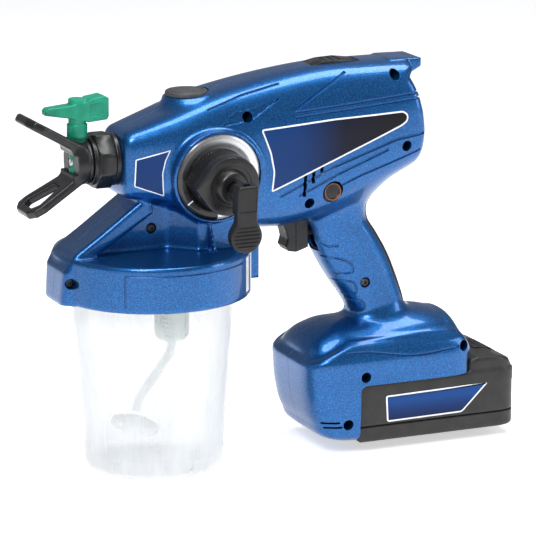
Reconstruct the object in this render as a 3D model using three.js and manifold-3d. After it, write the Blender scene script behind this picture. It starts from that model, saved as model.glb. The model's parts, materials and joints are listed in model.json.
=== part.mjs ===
// A cordless, hand-held airless paint sprayer with a clear paint cup under its nose.
// Units are millimetres. The origin is the centre of the cup's foot, on the ground.
// +X runs back to the battery, so it sprays towards -X; -Y is the operator's left; +Z is up.

import * as THREE from 'three';
import { mergeVertices } from 'three/addons/utils/BufferGeometryUtils.js';
import Module from 'manifold-3d';

const wasm = await Module();
wasm.setup();

// ---------------------------------------------------------------- driving dimensions

const ROUND = 32; // sides of the large round pieces
const BODY_SIDES = 18;
const HANDLE_SIDES = 14;
const BASE_SIDES = 20;

const WALL = 2.6; // thickness of the moulded housing
const GAP = 0.3; // between pieces that touch
const CLEARANCE = 0.5; // around pieces that slide or turn

const BODY_HALF = 35.5; // half the width of the motor housing
const BODY_REAR = 190;
const SPRAY_Z = 215.5; // height of the spray axis
const PORT = 1.5; // radius of the paint passage
const SLIVER = 0.03; // edges shorter than this, left by cutting, are closed up

const COLLAR = { radius: 67.3, bottom: 121.6, top: 153 };
const CUP = { foot: 46.8, mouth: 56, rim: 136, wall: 1.6, floor: 2.4, corner: 6 };
const INLET_X = 14; // the suction fitting stands behind the cup's axis

const DRIVE_Z = 219.2; // height of the pump's axis
const MODULE = 1; // gear tooth module
const GEAR_TEETH = 28;
const PINION_TEETH = 10;
const MOTOR_Z = DRIVE_Z + (MODULE * (GEAR_TEETH + PINION_TEETH)) / 2;
const MOTOR = { radius: 18.9, front: 108.4, rear: 165.4 };
const PUMP = { radius: 20, front: -4, rear: 50 };
const PISTON = { count: 3, radius: 4.8, orbit: 13.8, front: 32, button: 70, rear: 75.2 };
const SWASH = { radius: 19, thickness: 5, x: 82, tilt: 11 };

const DIAL = { x: 34.6, y: -34, z: 204.2, radius: 30 };
const CONTROL_PITCH = 6; // the dial, knob and lever lean down by this many degrees
const KNOB = { radius: 20.5, pointer: 25.3, depth: 22 };

const TIP_X = -52.9; // the spray tip's barrel
const BARREL = 5.8;
const NUT = { flats: 36, front: -46, rear: -31.6 };
const SEAL_FRONT = -46.2;
const WING = { length: 42, width: 34, thickness: 4.6, tilt: 30 };

const BASE = { rear: 227.5, half: 42.5 };
const BAY = { front: 137.2, top: 49.4, corner: 5 }; // the recess under the base that takes the battery
const PACK = { front: 137.8, rear: 261.5, half: 38.4, top: 49, heel: 59, seam: 18.5, foot: 7.5 };
const RAIL = { neck: 21.5, head: 25, low: 53, high: 57 };
const CELL = { radius: 9.1, length: 65, count: 5 };

const SCREW = { head: 3.2, shank: 1.5, boss: 4.6, depth: 13.6 };
const SCREW_SEATS = [
  { name: 'screw_nose', x: 57, z: 242.7 },
  { name: 'screw_rear_top', x: 167.9, z: 262.6 },
  { name: 'screw_rear_low', x: 174.3, z: 213.9 },
  { name: 'screw_trigger', x: 102.7, z: 179.5 },
  { name: 'screw_handle', x: 151.6, z: 116.2 },
  { name: 'screw_base_rear', x: 217.2, z: 69.6, depth: 20 },
  { name: 'screw_base_mid', x: 140.9, z: 55.5, depth: 20 },
  { name: 'screw_base_front', x: 128.2, z: 22.7, depth: 20 },
  { name: 'screw_spine', x: -66, z: 137.1 },
  { name: 'screw_web', x: -4.2, z: 167.5, depth: 6.5 },
];

// ---------------------------------------------------------------- solids

const rad = THREE.MathUtils.degToRad;

function signedVolume(position, index) {
  const [a, b, c] = [new THREE.Vector3(), new THREE.Vector3(), new THREE.Vector3()];
  let sum = 0;
  for (let i = 0; i < index.length; i += 3) {
    a.fromBufferAttribute(position, index[i]);
    b.fromBufferAttribute(position, index[i + 1]);
    c.fromBufferAttribute(position, index[i + 2]);
    sum += a.dot(b.cross(c));
  }
  return sum;
}

// A closed geometry as a solid: shared corners merged, slivers dropped, faces outward.
function solid(geometry) {
  const bare = geometry.clone();
  bare.deleteAttribute('normal');
  bare.deleteAttribute('uv');
  const merged = mergeVertices(bare, 1e-4);
  const triangles = [];
  for (let i = 0; i < merged.index.count; i += 3) {
    const [a, b, c] = merged.index.array.slice(i, i + 3);
    if (a !== b && b !== c && c !== a) triangles.push(a, b, c);
  }
  if (signedVolume(merged.attributes.position, triangles) < 0) triangles.reverse();
  return new wasm.Manifold(new wasm.Mesh({
    numProp: 3,
    vertProperties: Float32Array.from(merged.attributes.position.array),
    triVerts: Uint32Array.from(triangles),
  }));
}

const join = (...solids) => solids.reduce((sum, one) => sum.add(one));
const cut = (base, ...tools) => tools.reduce((rest, tool) => rest.subtract(tool), base);

// Turns a solid by degrees about X, Y and Z, then moves it.
function moved(body, offset, turn = [0, 0, 0]) {
  return body.rotate(turn).translate(offset);
}

// Sends a shape's own x, y, z to the model's axes so that its z (or a lathe's y) runs along `axis`.
const ALONG = {
  x: new THREE.Matrix4().makeBasis(
    new THREE.Vector3(0, 1, 0), new THREE.Vector3(0, 0, 1), new THREE.Vector3(1, 0, 0)),
  y: new THREE.Matrix4().makeBasis(
    new THREE.Vector3(1, 0, 0), new THREE.Vector3(0, 0, 1), new THREE.Vector3(0, -1, 0)),
  z: new THREE.Matrix4(),
};

// A flat shape swept along an axis. Its plane is (y, z) for x, (x, z) for y and (x, y) for z.
function prism(axis, shape, from, to, curveSegments = 6) {
  const depth = to - from;
  const geometry = new THREE.ExtrudeGeometry(shape, { depth, bevelEnabled: false, curveSegments });
  geometry.applyMatrix4(ALONG[axis]);
  const start = { x: [from, 0, 0], y: [0, to, 0], z: [0, 0, from] }[axis];
  geometry.translate(...start);
  return solid(geometry);
}

// A round bar along an axis, centred on the other two coordinates in `centre`.
function rod(axis, radius, from, to, centre, sides = 24, endRadius = radius) {
  const geometry = new THREE.CylinderGeometry(endRadius, radius, to - from, sides);
  const middle = (from + to) / 2;
  if (axis === 'x') geometry.rotateZ(-Math.PI / 2).translate(middle, centre[0], centre[1]);
  if (axis === 'y') geometry.translate(centre[0], middle, centre[1]);
  if (axis === 'z') geometry.rotateX(Math.PI / 2).translate(centre[0], centre[1], middle);
  return solid(geometry);
}

function box(x, y, z) {
  const geometry = new THREE.BoxGeometry(x[1] - x[0], y[1] - y[0], z[1] - z[0]);
  geometry.translate((x[0] + x[1]) / 2, (y[0] + y[1]) / 2, (z[0] + z[1]) / 2);
  return solid(geometry);
}

// A profile of [radius, height] pairs turned about an axis; it closes on itself.
function turned(axis, profile, centre = [0, 0], sides = 40) {
  const points = [...profile, profile[0]].map(([r, h]) => new THREE.Vector2(r, h));
  const geometry = new THREE.LatheGeometry(points, sides);
  if (axis === 'x') geometry.rotateZ(-Math.PI / 2).translate(0, centre[0], centre[1]);
  if (axis === 'y') geometry.translate(centre[0], 0, centre[1]);
  if (axis === 'z') geometry.rotateX(Math.PI / 2).translate(centre[0], centre[1], 0);
  return solid(geometry);
}

function outline(points) {
  return new THREE.Shape(points.map(([u, v]) => new THREE.Vector2(u, v)));
}

function roundedRect(left, right, low, high, radius) {
  const shape = new THREE.Shape();
  shape.absarc(right - radius, high - radius, radius, 0, Math.PI / 2);
  shape.absarc(left + radius, high - radius, radius, Math.PI / 2, Math.PI);
  shape.absarc(left + radius, low + radius, radius, Math.PI, Math.PI * 1.5);
  shape.absarc(right - radius, low + radius, radius, Math.PI * 1.5, Math.PI * 2);
  return shape;
}

// Below this a sine or cosine is zero, so that the seam of a skin closes on itself.
const TINY = 1e-9;

// Skins over sections that are squared-off ovals. A section lies at `at` along the axis, spans
// `u` (low, high) and `v` (low, high) across it, and is squarer the higher its `power`.
// `middle` is where along v it is widest.
function loft(axis, sections, sides) {
  const geometry = new THREE.CylinderGeometry(1, 1, 1, sides, sections.length - 1);
  const position = geometry.attributes.position;
  for (let i = 0; i < position.count; i += 1) {
    const section = sections[Math.round((0.5 - position.getY(i)) * (sections.length - 1))];
    const { at, u, v, power, middle = (v[0] + v[1]) / 2 } = section;
    const oval = (t) => (Math.abs(t) < TINY ? 0 : Math.sign(t) * Math.abs(t) ** (2 / power));
    const [c, s] = [oval(position.getX(i)), oval(position.getZ(i))];
    const across = (u[0] + u[1]) / 2 + c * (u[1] - u[0]) / 2;
    const up = middle + s * (s > 0 ? v[1] - middle : middle - v[0]);
    if (axis === 'x') position.setXYZ(i, at, across, up);
    if (axis === 'z') position.setXYZ(i, across, up, at);
  }
  return solid(geometry);
}

// The same sections drawn in by a wall's thickness, ends too.
function shrunk(sections, wall) {
  return sections.map((section, i) => ({
    ...section,
    at: section.at + (i === 0 ? wall : 0) - (i === sections.length - 1 ? wall : 0),
    u: [section.u[0] + wall, section.u[1] - wall],
    v: [section.v[0] + wall, section.v[1] - wall],
  }));
}

// ---------------------------------------------------------------- the object as a scene graph

const sprayer = new THREE.Group();

const FINISH = {
  blue: { color: 0x1c4f9c, roughness: 0.35, metalness: 0.4 },
  black: { color: 0x17181a, roughness: 0.55, metalness: 0 },
  rubber: { color: 0x232426, roughness: 0.8, metalness: 0 },
  green: { color: 0x0c9a66, roughness: 0.45, metalness: 0 },
  clear: { color: 0xf2f5f7, roughness: 0.15, metalness: 0 },
  white: { color: 0xe9ebea, roughness: 0.5, metalness: 0 },
  steel: { color: 0xa9adb2, roughness: 0.3, metalness: 1 },
  brass: { color: 0xb99a55, roughness: 0.35, metalness: 1 },
  alloy: { color: 0xb9bcc0, roughness: 0.45, metalness: 0.9 },
  silver: { color: 0xc9cbcd, roughness: 0.4, metalness: 0.5 },
  board: { color: 0x1f6b3c, roughness: 0.6, metalness: 0 },
  wire: { color: 0xa8231c, roughness: 0.5, metalness: 0 },
};

// Names a finished solid and adds it to the object, or to a group within it.
function add(name, body, finish, parent = sprayer) {
  const { vertProperties, triVerts } = body.simplify(SLIVER).getMesh();
  const geometry = new THREE.BufferGeometry();
  geometry.setAttribute('position', new THREE.BufferAttribute(vertProperties, 3));
  geometry.setIndex(new THREE.BufferAttribute(triVerts, 1));
  geometry.computeVertexNormals();
  const mesh = new THREE.Mesh(geometry, new THREE.MeshStandardMaterial(FINISH[finish]));
  mesh.name = name;
  parent.add(mesh);
}

// ---------------------------------------------------------------- housing

// The motor housing, from the nose back, as sections across X.
const BODY_SECTIONS = [
  { at: -27.3, half: 20.5, low: 192, high: 233.5, power: 5 },
  { at: -25, half: 22.5, low: 191, high: 236, power: 4.5 },
  { at: 0, half: 28.2, low: 185, high: 244.5, power: 3.8 },
  { at: 30, half: 33, low: 173, high: 255.5, power: 3.3 },
  { at: 55, half: 34.8, low: 164.5, high: 261.5, power: 3.1 },
  { at: 85, half: BODY_HALF, low: 160.5, high: 266.8, power: 3 },
  { at: 115, half: BODY_HALF, low: 164.5, high: 270.3, power: 2.9 },
  { at: 160, half: BODY_HALF, low: 183, high: 271, power: 2.9 },
  { at: 182, half: 33.6, low: 193.5, high: 270.8, power: 2.9 },
  { at: 191, half: 27, low: 198, high: 270.4, power: 3.2 },
].map(({ at, half, low, high, power }) => ({ at, u: [-half, half], v: [low, high], power }));

// The side view of the housing's tail: a lip over a bowed rear face.
function bodyTail(inset) {
  const rear = BODY_REAR - inset;
  return prism('y', outline([
    [-40, 140], [rear, 140], [rear, 224], [rear - 1.5, 236], [rear - 5, 249], [rear - 9.5, 260],
    [rear - 4.5 - inset, 264.3], [rear - 4.5 - inset, 290], [-40, 290],
  ]), -60, 60);
}

const HANDLE_SECTIONS = [
  { at: 78, front: 152, rear: 192, half: 20.5 },
  { at: 90, front: 148.6, rear: 187.6, half: 18.2 },
  { at: 104, front: 141.1, rear: 184.4, half: 17.2 },
  { at: 117, front: 131.9, rear: 180, half: 17 },
  { at: 135, front: 121.3, rear: 172.5, half: 17.4 },
  { at: 150, front: 114.8, rear: 163.8, half: 18 },
  { at: 161, front: 111.5, rear: 157, half: 18.5 },
  { at: 170, front: 109.5, rear: 156.3, half: 19.5 },
  { at: 186, front: 107, rear: 167.5, half: 23 },
  { at: 195, front: 107, rear: 172, half: 24 },
].map(({ at, front, rear, half }) => ({ at, u: [front, rear], v: [-half, half], power: 2.7 }));

const BASE_SECTIONS = [
  { at: 8.5, front: 121, half: 36 },
  { at: 12, front: 114, half: 39.5 },
  { at: 22, front: 107.5, half: 41.6 },
  { at: 38, front: 102.8, half: BASE.half },
  { at: 55, front: 101, half: BASE.half },
  { at: 68, front: 101.2, half: BASE.half },
  { at: 82.5, front: 104, half: 41 },
].map(({ at, front, half }) => ({ at, u: [front, BASE.rear], v: [-half, half], power: 6 }));

const DECK_SECTIONS = [
  { at: 105, half: 30, high: 75 },
  { at: 112, half: 34, high: 82.5 },
  { at: 124, half: 37, high: 88 },
  { at: 145, half: 38.5, high: 90 },
  { at: 208, half: 38.5, high: 90.8 },
  { at: 217, half: 36, high: 88 },
  { at: 223, half: 30, high: 80 },
].map(({ at, half, high }) => ({ at, u: [-half, half], v: [50, high], power: 2.2, middle: 62 }));

// The base as seen from the side: its edge rises to the rear and hangs over the battery.
function baseSide(inset) {
  return prism('y', outline([
    [90, 0], [90 + inset, 62], [106 + inset, 68 - inset], [131, 79.5 - inset], [208, 81.2 - inset],
    [217.5 - inset, 78.5 - inset], [227 - inset, 66 - inset], [223.5 - inset, 59], [223.5 - inset, 0],
  ]), -60, 60);
}

// The open space under the base; `grow` makes the wall around it.
function batteryBay(grow) {
  const floor = roundedRect(BAY.front - grow, 300, -60, BAY.top + grow, BAY.corner + grow / 2);
  const room = CLEARANCE + grow;
  const along = [BAY.front + 20 - grow, 300];
  const neck = box(along, [-RAIL.neck - room, RAIL.neck + room], [BAY.top - 1, RAIL.low + 1]);
  const head = box(along, [-RAIL.head - room, RAIL.head + room], [RAIL.low - room, RAIL.high + room]);
  const tail = prism('y', outline([[221.6, 40], [222.8, 58.2], [227.8, 65], [240, 65], [240, 40]]), -60, 60);
  return join(prism('y', floor, -60, 60), neck, head, tail.translate([-grow, 0, 0]));
}

// The slanting strut from under the nose down to the front of the collar.
function spine(inset) {
  const half = 20 - inset;
  const flange = prism('y', outline([
    [-8, 194 - inset], [-46, 167 - inset * 1.25], [-62, 156.3 - inset * 1.25], [-70 + inset, 144.6],
    [-72 + inset, COLLAR.bottom + inset], [-50 - inset, COLLAR.bottom + inset], [-50 - inset, 152 + inset],
    [-6, 180 + inset],
  ]), -half, half);
  const web = prism('y', outline([
    [-56 + inset, COLLAR.top - 2], [-10, 186], [12, 186], [12, COLLAR.top - 2],
  ]), -9.5 + inset, 9.5 - inset);
  const chamfer = prism('z', outline([
    [-76 + inset, -11], [-76 + inset, 11], [-66 + inset, 24], [30, 24], [30, -24], [-66 + inset, -24],
  ]), 100, 220);
  return join(flange, web).intersect(chamfer);
}

// The column that stands on the collar and carries the pump's inlet.
function neck(inset) {
  const [front, rear, half, corner] = [6 + inset, 60 - inset, 26.5 - inset, 17.5];
  return prism('z', outline([
    [front, -half + corner], [front + corner, -half], [rear - 8, -half], [rear, -half + 8],
    [rear, half - 8], [rear - 8, half], [front + corner, half], [front, half - corner],
  ]), COLLAR.top - 3, 192);
}

function gusset(side) {
  return prism('x', outline([
    [side * 24, COLLAR.top - 1], [side * 38, COLLAR.top - 1], [side * 28, 171], [side * 24, 171],
  ]), 30, 32.6);
}

function collar() {
  const { radius, bottom, top } = COLLAR;
  const inner = radius - 2.9;
  return turned('z', [
    [inner, bottom], [radius - 0.8, bottom], [radius, bottom + 0.8], [radius, top - 1.6],
    [radius - 1.6, top], [0, top], [0, top - 3], [inner, top - 3],
  ], [0, 0], ROUND);
}

// The window at the collar's rear left, in which the cup cover's grip shows.
const WINDOW_ANGLE = -38;
function collarWindow(width, depth, low, high) {
  const { radius } = COLLAR;
  const block = box([radius - depth, radius + 4], [-width / 2, width / 2], [low, high]);
  return moved(block, [0, 0, 0], [0, 0, WINDOW_ANGLE]);
}

function rearLug() {
  return prism('z', roundedRect(58, 76, -9, 9, 4), COLLAR.bottom + 3, COLLAR.top - 4, 3);
}

function bosses() {
  const posts = SCREW_SEATS.map(({ x, z }) => rod('y', SCREW.boss, -44, 44, [x, z], 8));
  return join(...posts);
}

// The stepped hole of one screw: a wide well on the left, a shank hole across the joint.
function screwWell({ x, z, depth = SCREW.depth }) {
  return join(
    rod('y', SCREW.head + CLEARANCE, -60, -depth, [x, z], 8),
    rod('y', SCREW.shank + GAP, -depth - 1, depth + 1, [x, z], 6),
  );
}

// Thin walls across the inside that cradle the pump and the motor.
function cradles() {
  const slabs = [[44, 46.5], [138, 140.5]];
  const walls = join(...slabs.map((x) => box(x, [-50, 50], [176, 290])));
  return cut(
    walls,
    rod('x', PUMP.radius + 1, -30, 60, [0, DRIVE_Z], 20),
    rod('x', MOTOR.radius + 1, 100, 180, [0, MOTOR_Z], 20),
    box([100, 180], [-14, 14], [170, 222]),
  );
}

// The tool that opens the three cooling slots beside the trigger, on both sides.
function coolingSlots() {
  const slots = [[98, 185, 204], [104, 194, 206.5], [110, 201, 209.5]];
  return join(...slots.map(([x, low, high]) => box([x - 1.2, x + 1.2], [-60, 60], [low, high])));
}

function baseVents() {
  const slots = [[110, 122, 24], [112, 124, 20.5]];
  return join(...slots.map(([front, rear, z]) => box([front, rear], [-60, 60], [z, z + 1.4])));
}

// Places something built around the dial's centre, where -y points out of the housing.
function onDial(body) {
  return moved(body, [DIAL.x, DIAL.y, DIAL.z], [CONTROL_PITCH, 0, 0]);
}

// The soft strip let into the back of the handle.
function gripStrip(grow) {
  const rearCurve = HANDLE_SECTIONS.filter(({ at }) => at > 96 && at < 184).map(({ at, u }) => [u[1], at]);
  const start = [183.6, 97 - grow];
  const end = [166.5, 184 + grow];
  const inner = [start, ...rearCurve, end].map(([x, z]) => [x - 3.4 - grow, z]);
  const outer = [start, ...rearCurve, end].map(([x, z]) => [x + 6, z]).reverse();
  return prism('y', outline([...inner, ...outer]), -11.5 - grow, 11.5 + grow);
}

// The end of the ridge, which hangs over the back of the motor housing.
function rearLip() {
  const [tip, half] = [BODY_REAR + 4.5, 14];
  return prism('y', outline([[170, 258], [186, 260], [tip, 264.5], [tip, 270.6], [170, 270.9]]), -half, half);
}

const CAP = { x: 25.7, radius: 14.6, top: 258.4, thickness: 3.2 };
const CAP_SEAT = CAP.top - CAP.thickness - GAP;
const LOCK = { x: 119.8, z: 186.2, radius: 7.4, half: 31.5 };
const TRIGGER_SLOT = { half: 8.6, low: 139.5, high: 163 };

function housing() {
  const body = loft('x', BODY_SECTIONS, BODY_SIDES).intersect(bodyTail(0));
  const capBoss = turned('z', [
    [0, 238], [20.5, 238], [CAP.radius + 1.6, CAP_SEAT], [0, CAP_SEAT],
  ], [CAP.x, 0], 24);
  const dialBoss = onDial(rod('y', DIAL.radius + 2.2, -1.2, 26, [0, 0], 32));
  const base = join(
    loft('z', BASE_SECTIONS, BASE_SIDES).intersect(baseSide(0)),
    loft('x', DECK_SECTIONS, HANDLE_SIDES),
  );
  const handle = loft('z', HANDLE_SECTIONS, HANDLE_SIDES);
  const lip = rearLip();
  const frontParts = join(spine(0), neck(0), gusset(-1), gusset(1), rearLug());
  const outside = join(body, lip, capBoss, dialBoss, handle, base, frontParts);

  const inside = join(
    loft('x', shrunk(BODY_SECTIONS, WALL), BODY_SIDES).intersect(bodyTail(WALL)),
    loft('z', shrunk(HANDLE_SECTIONS, WALL), HANDLE_SIDES),
    cut(
      join(
        loft('z', shrunk(BASE_SECTIONS, WALL), BASE_SIDES).intersect(baseSide(WALL)),
        loft('x', shrunk(DECK_SECTIONS, WALL), HANDLE_SIDES),
      ),
      batteryBay(WALL),
    ),
    spine(WALL),
    neck(WALL),
  );
  const shell = cut(outside, inside);
  const webs = join(cradles(), bosses()).intersect(outside);
  const whole = join(shell, webs, collar());

  return cut(
    whole,
    batteryBay(0),
    rod('z', COLLAR.radius - 2.9, 90, COLLAR.top - 3, [0, 0], ROUND),
    rod('z', 9.5, 140, 200, [INLET_X, 0], 16),
    rod('x', 9.3, -60, 10, [0, SPRAY_Z], 16),
    rod('z', CAP.radius - 3, 240, 262, [CAP.x, 0], 16),
    rod('z', CAP.radius + 0.6, CAP_SEAT, 266, [CAP.x, 0], 24),
    onDial(rod('y', DIAL.radius + GAP, -10, 1.6, [0, 0], 32)),
    onDial(rod('y', 9.4, -10, 24, [0, 0], 16)),
    rod('y', LOCK.radius + CLEARANCE, -60, 60, [LOCK.x, LOCK.z], 14),
    prism('y', roundedRect(80, 121.4, TRIGGER_SLOT.low, TRIGGER_SLOT.high + 8, 2),
      -TRIGGER_SLOT.half, TRIGGER_SLOT.half),
    box([113.7, 150.3], [-9.3, 9.3], [266.8, 280]),
    gripStrip(GAP),
    collarWindow(9.4, 6, 124.6, 149.9),
    coolingSlots(),
    baseVents(),
    ...SCREW_SEATS.map(screwWell),
  );
}

const HALF_SPACE = 150;
const wholeHousing = housing();
const leftSide = box([-200, 400], [-HALF_SPACE, -GAP / 2], [-50, 400]);
const rightSide = box([-200, 400], [GAP / 2, HALF_SPACE], [-50, 400]);
add('left_housing', wholeHousing.intersect(leftSide), 'blue');
add('right_housing', wholeHousing.intersect(rightSide), 'blue');

// ---------------------------------------------------------------- trim on the housing

function gripPad() {
  const handle = join(loft('z', HANDLE_SECTIONS, HANDLE_SIDES), loft('x', BODY_SECTIONS, BODY_SIDES));
  return handle.intersect(gripStrip(0));
}
add('rear_grip_pad', gripPad(), 'rubber');

function serviceCap() {
  const { radius, top, thickness } = CAP;
  const rim = top - thickness;
  return turned('z', [
    [0, rim - 5], [radius - 3.4, rim - 5], [radius - 3.4, rim],
    [radius, rim], [radius, top - 0.8], [radius - 0.9, top], [0, top],
  ], [CAP.x, 0], 24);
}
add('service_cap', serviceCap(), 'rubber');

add('top_insert', prism('y', outline([
  [114, 267.1], [150, 267.1], [150, 270.6], [137, 272.4], [124, 271.9], [114, 269.8],
]), -9, 9), 'black');

// ---------------------------------------------------------------- trigger, lock and switch

const TRIGGER_TRAVEL = 6;
const SWITCH = { front: 123.5, rear: 146, low: 143, high: 170, half: 8 };
const PLUNGER_Z = 153;

function trigger() {
  const face = new THREE.Shape();
  face.moveTo(92.6, 160.2);
  face.quadraticCurveTo(99, 150, 95.5, 144);
  face.quadraticCurveTo(99, 139.5, 104, 140.2);
  face.lineTo(112.6, 143);
  face.lineTo(112.6, 168);
  face.lineTo(97, 168);
  face.lineTo(94, 162);
  const half = TRIGGER_SLOT.half - CLEARANCE;
  return join(
    prism('y', face, -half, half, 5),
    rod('x', 3, 112, SWITCH.front + 1, [0, PLUNGER_Z], 14),
  );
}
add('trigger', trigger(), 'rubber');

function triggerSwitch() {
  const { front, rear, low, high, half } = SWITCH;
  const depth = TRIGGER_TRAVEL + 2.5;
  return cut(
    box([front, rear], [-half, half], [low, high]),
    rod('x', 3.4, front - 1, front + depth, [0, PLUNGER_Z], 14),
  );
}
add('trigger_switch', triggerSwitch(), 'black');

function lockButton() {
  const { radius, half } = LOCK;
  return turned('y', [
    [0, -half], [radius - 1, -half], [radius, -half + 1], [radius, -half + 9], [4, -half + 9],
    [4, half - 9], [radius, half - 9], [radius, half - 1], [radius - 1, half], [0, half],
  ], [LOCK.x, LOCK.z], 14);
}
add('trigger_lock', lockButton(), 'black');

// ---------------------------------------------------------------- dial, pressure knob and prime lever

// These three turn about one axis that leans down, so they sit in a group of their own.
const controls = new THREE.Group();
controls.position.set(DIAL.x, DIAL.y, DIAL.z);
controls.rotation.x = rad(CONTROL_PITCH);
sprayer.add(controls);

add('pressure_dial', turned('y', [
  [10.2, 1.2], [DIAL.radius, 1.2], [DIAL.radius, -0.4], [10.2, -0.4],
], [0, 0], 32), 'silver', controls);

// A round knob drawn out to a pointer: the pointer's flanks touch the circle.
function teardrop(radius, reach) {
  const flank = Math.acos(radius / reach);
  const shape = new THREE.Shape();
  shape.absarc(0, 0, radius, Math.PI + flank, Math.PI * 3 - flank);
  shape.lineTo(-reach, 0);
  return shape;
}

function pressureKnob() {
  const { radius, pointer, depth } = KNOB;
  const front = -0.8 - depth;
  return cut(
    join(
      prism('y', teardrop(radius, pointer), front, -0.8, 18),
      turned('y', [[0, front - 4.4], [10, front - 4.4], [12.5, front + 1], [0, front + 1]], [0, 0], 28),
    ),
    rod('y', 4.4, front - 10, 5, [0, 0], 20),
    rod('y', 8.5, -7, 5, [0, 0], 20),
  );
}
add('pressure_knob', pressureKnob(), 'black', controls);

const LEVER = { back: -41, front: -52, half: 7.2, top: 9, paddle: 11.2, centre: -26 };

// The valve stem runs out through the knob and carries the lever on its square end.
add('valve_stem', join(
  rod('y', 4, LEVER.back - 4, 14, [0, 0], 20),
  rod('y', 6.4, LEVER.back + 0.6, LEVER.back + 8, [0, 0], 20),
), 'steel', controls);

function primeLever() {
  const { back, front, half, top, paddle, centre } = LEVER;
  const flank = Math.asin((half - 0.4) / paddle);
  const shape = new THREE.Shape();
  shape.moveTo(half, 0);
  shape.lineTo(half, top);
  shape.lineTo(-half, top);
  shape.lineTo(-half, 0);
  shape.absarc(0, centre, paddle, Math.PI / 2 + flank, Math.PI * 2.5 - flank);
  return cut(
    prism('y', shape, front, back, 14),
    rod('y', 4.3, back - 4.4, back + 1, [0, 0], 20),
  );
}
add('prime_lever', primeLever(), 'black', controls);

// ---------------------------------------------------------------- pump

function pistonCentres() {
  return Array.from({ length: PISTON.count }, (_, i) => {
    const angle = -Math.PI / 2 + (i * 2 * Math.PI) / PISTON.count;
    return [PISTON.orbit * Math.cos(angle), DRIVE_Z + PISTON.orbit * Math.sin(angle)];
  });
}

const SHAFT = 4;
const BEARING = { outer: 7.5, width: 6 };

function pumpBlock() {
  const bores = pistonCentres().map((c) => rod('x', PISTON.radius + GAP, PISTON.front - 6, 60, c, 12));
  return cut(
    join(
      rod('x', PUMP.radius, PUMP.front, PUMP.rear, [0, DRIVE_Z], 28),
      rod('z', 7.5, 186, 205, [INLET_X, 0], 16),
      onDial(rod('y', 9, 3, 24, [0, 0], 18)),
    ),
    ...bores,
    rod('x', BEARING.outer + 0.1, PUMP.rear - BEARING.width - 0.4, 60, [0, DRIVE_Z], 20),
    rod('x', 5.2, PUMP.front - 1, 8, [0, SPRAY_Z], 14),
    rod('z', 4, 180, 206, [INLET_X, 0], 10),
    onDial(rod('y', 4.4, 0, 16, [0, 0], 14)),
  );
}
add('pump_block', pumpBlock(), 'alloy');

function ballBearing(x, z) {
  const [front, rear] = [x - BEARING.width / 2, x + BEARING.width / 2];
  return turned('x', [
    [SHAFT + 0.1, front], [BEARING.outer, front], [BEARING.outer, rear], [SHAFT + 0.1, rear],
  ], [0, z], 20);
}
const FRONT_BEARING_X = PUMP.rear - BEARING.width / 2;
const PLATE = { front: 102, rear: 108 };
add('front_bearing', ballBearing(FRONT_BEARING_X, DRIVE_Z), 'steel');
add('rear_bearing', ballBearing((PLATE.front + PLATE.rear) / 2, DRIVE_Z), 'steel');

pistonCentres().forEach((centre, i) => {
  const { front, rear, button, radius } = PISTON;
  add(`piston_${i + 1}`, turned('x', [
    [0, front], [radius, front], [radius, button], [6, button], [6, button + 3], [3, rear], [0, rear],
  ], centre, 12), 'steel');
});

// A compression spring: an open coil of wire around each piston.
function coilSpring(centre, from, to, turns) {
  class Helix extends THREE.Curve {
    getPoint(t, target = new THREE.Vector3()) {
      const angle = t * turns * 2 * Math.PI;
      return target.set(
        from + (to - from) * t, centre[0] + 5.9 * Math.cos(angle), centre[1] + 5.9 * Math.sin(angle));
    }
  }
  const wire = new THREE.Shape();
  wire.absarc(0, 0, 0.6, 0, 2 * Math.PI);
  const geometry = new THREE.ExtrudeGeometry(wire, {
    extrudePath: new Helix(), steps: turns * 8, curveSegments: 2, bevelEnabled: false,
  });
  return solid(geometry);
}
pistonCentres().forEach((centre, i) => {
  add(`piston_spring_${i + 1}`, coilSpring(centre, PUMP.rear + 1, PISTON.button - 1, 3), 'steel');
});

// ---------------------------------------------------------------- drive

// A spur gear's outline, with straight-flanked teeth.
function gearShape(teeth, phase) {
  const pitch = (MODULE * teeth) / 2;
  const flanks = [[pitch - 1.15, -0.29], [pitch + 0.75, -0.1], [pitch + 0.75, 0.1], [pitch - 1.15, 0.29]];
  const points = [];
  for (let i = 0; i < teeth; i += 1) {
    for (const [r, part] of flanks) {
      const angle = ((i + part + phase) * 2 * Math.PI) / teeth;
      points.push([r * Math.cos(angle), r * Math.sin(angle)]);
    }
  }
  return outline(points);
}

const GEAR = { front: 91, rear: 99 };
function gearSolid(teeth, z, phase) {
  return prism('x', gearShape(teeth, phase), GEAR.front, GEAR.rear).translate([0, 0, z]);
}

// The gear, the shaft and the slanted plate that drives the pistons turn as one.
add('drive_gear', cut(
  gearSolid(GEAR_TEETH, DRIVE_Z, 0),
  rod('x', SHAFT + 0.05, 80, 110, [0, DRIVE_Z], 20),
), 'steel');

function swashShaft() {
  const { radius, thickness, x, tilt } = SWASH;
  const plate = moved(
    rod('x', radius - 1.4, -thickness / 2, thickness / 2, [0, 0], 32), [x, 0, DRIVE_Z], [0, tilt, 0]);
  return join(
    plate,
    rod('x', SHAFT, PUMP.rear - BEARING.width, PLATE.rear - 0.4, [0, DRIVE_Z], 20),
    rod('x', 8, x + 2, GEAR.front - GAP, [0, DRIVE_Z], 20),
  );
}
add('swash_shaft', swashShaft(), 'steel');

add('gear_plate', cut(
  join(
    rod('x', 21, PLATE.front, PLATE.rear, [0, DRIVE_Z], 32),
    rod('x', 19, PLATE.front, PLATE.rear, [0, MOTOR_Z], 32),
  ),
  rod('x', BEARING.outer + 0.1, PLATE.front - 1, PLATE.rear + 1, [0, DRIVE_Z], 24),
  rod('x', 4, PLATE.front - 1, PLATE.rear + 1, [0, MOTOR_Z], 16),
), 'alloy');

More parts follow.
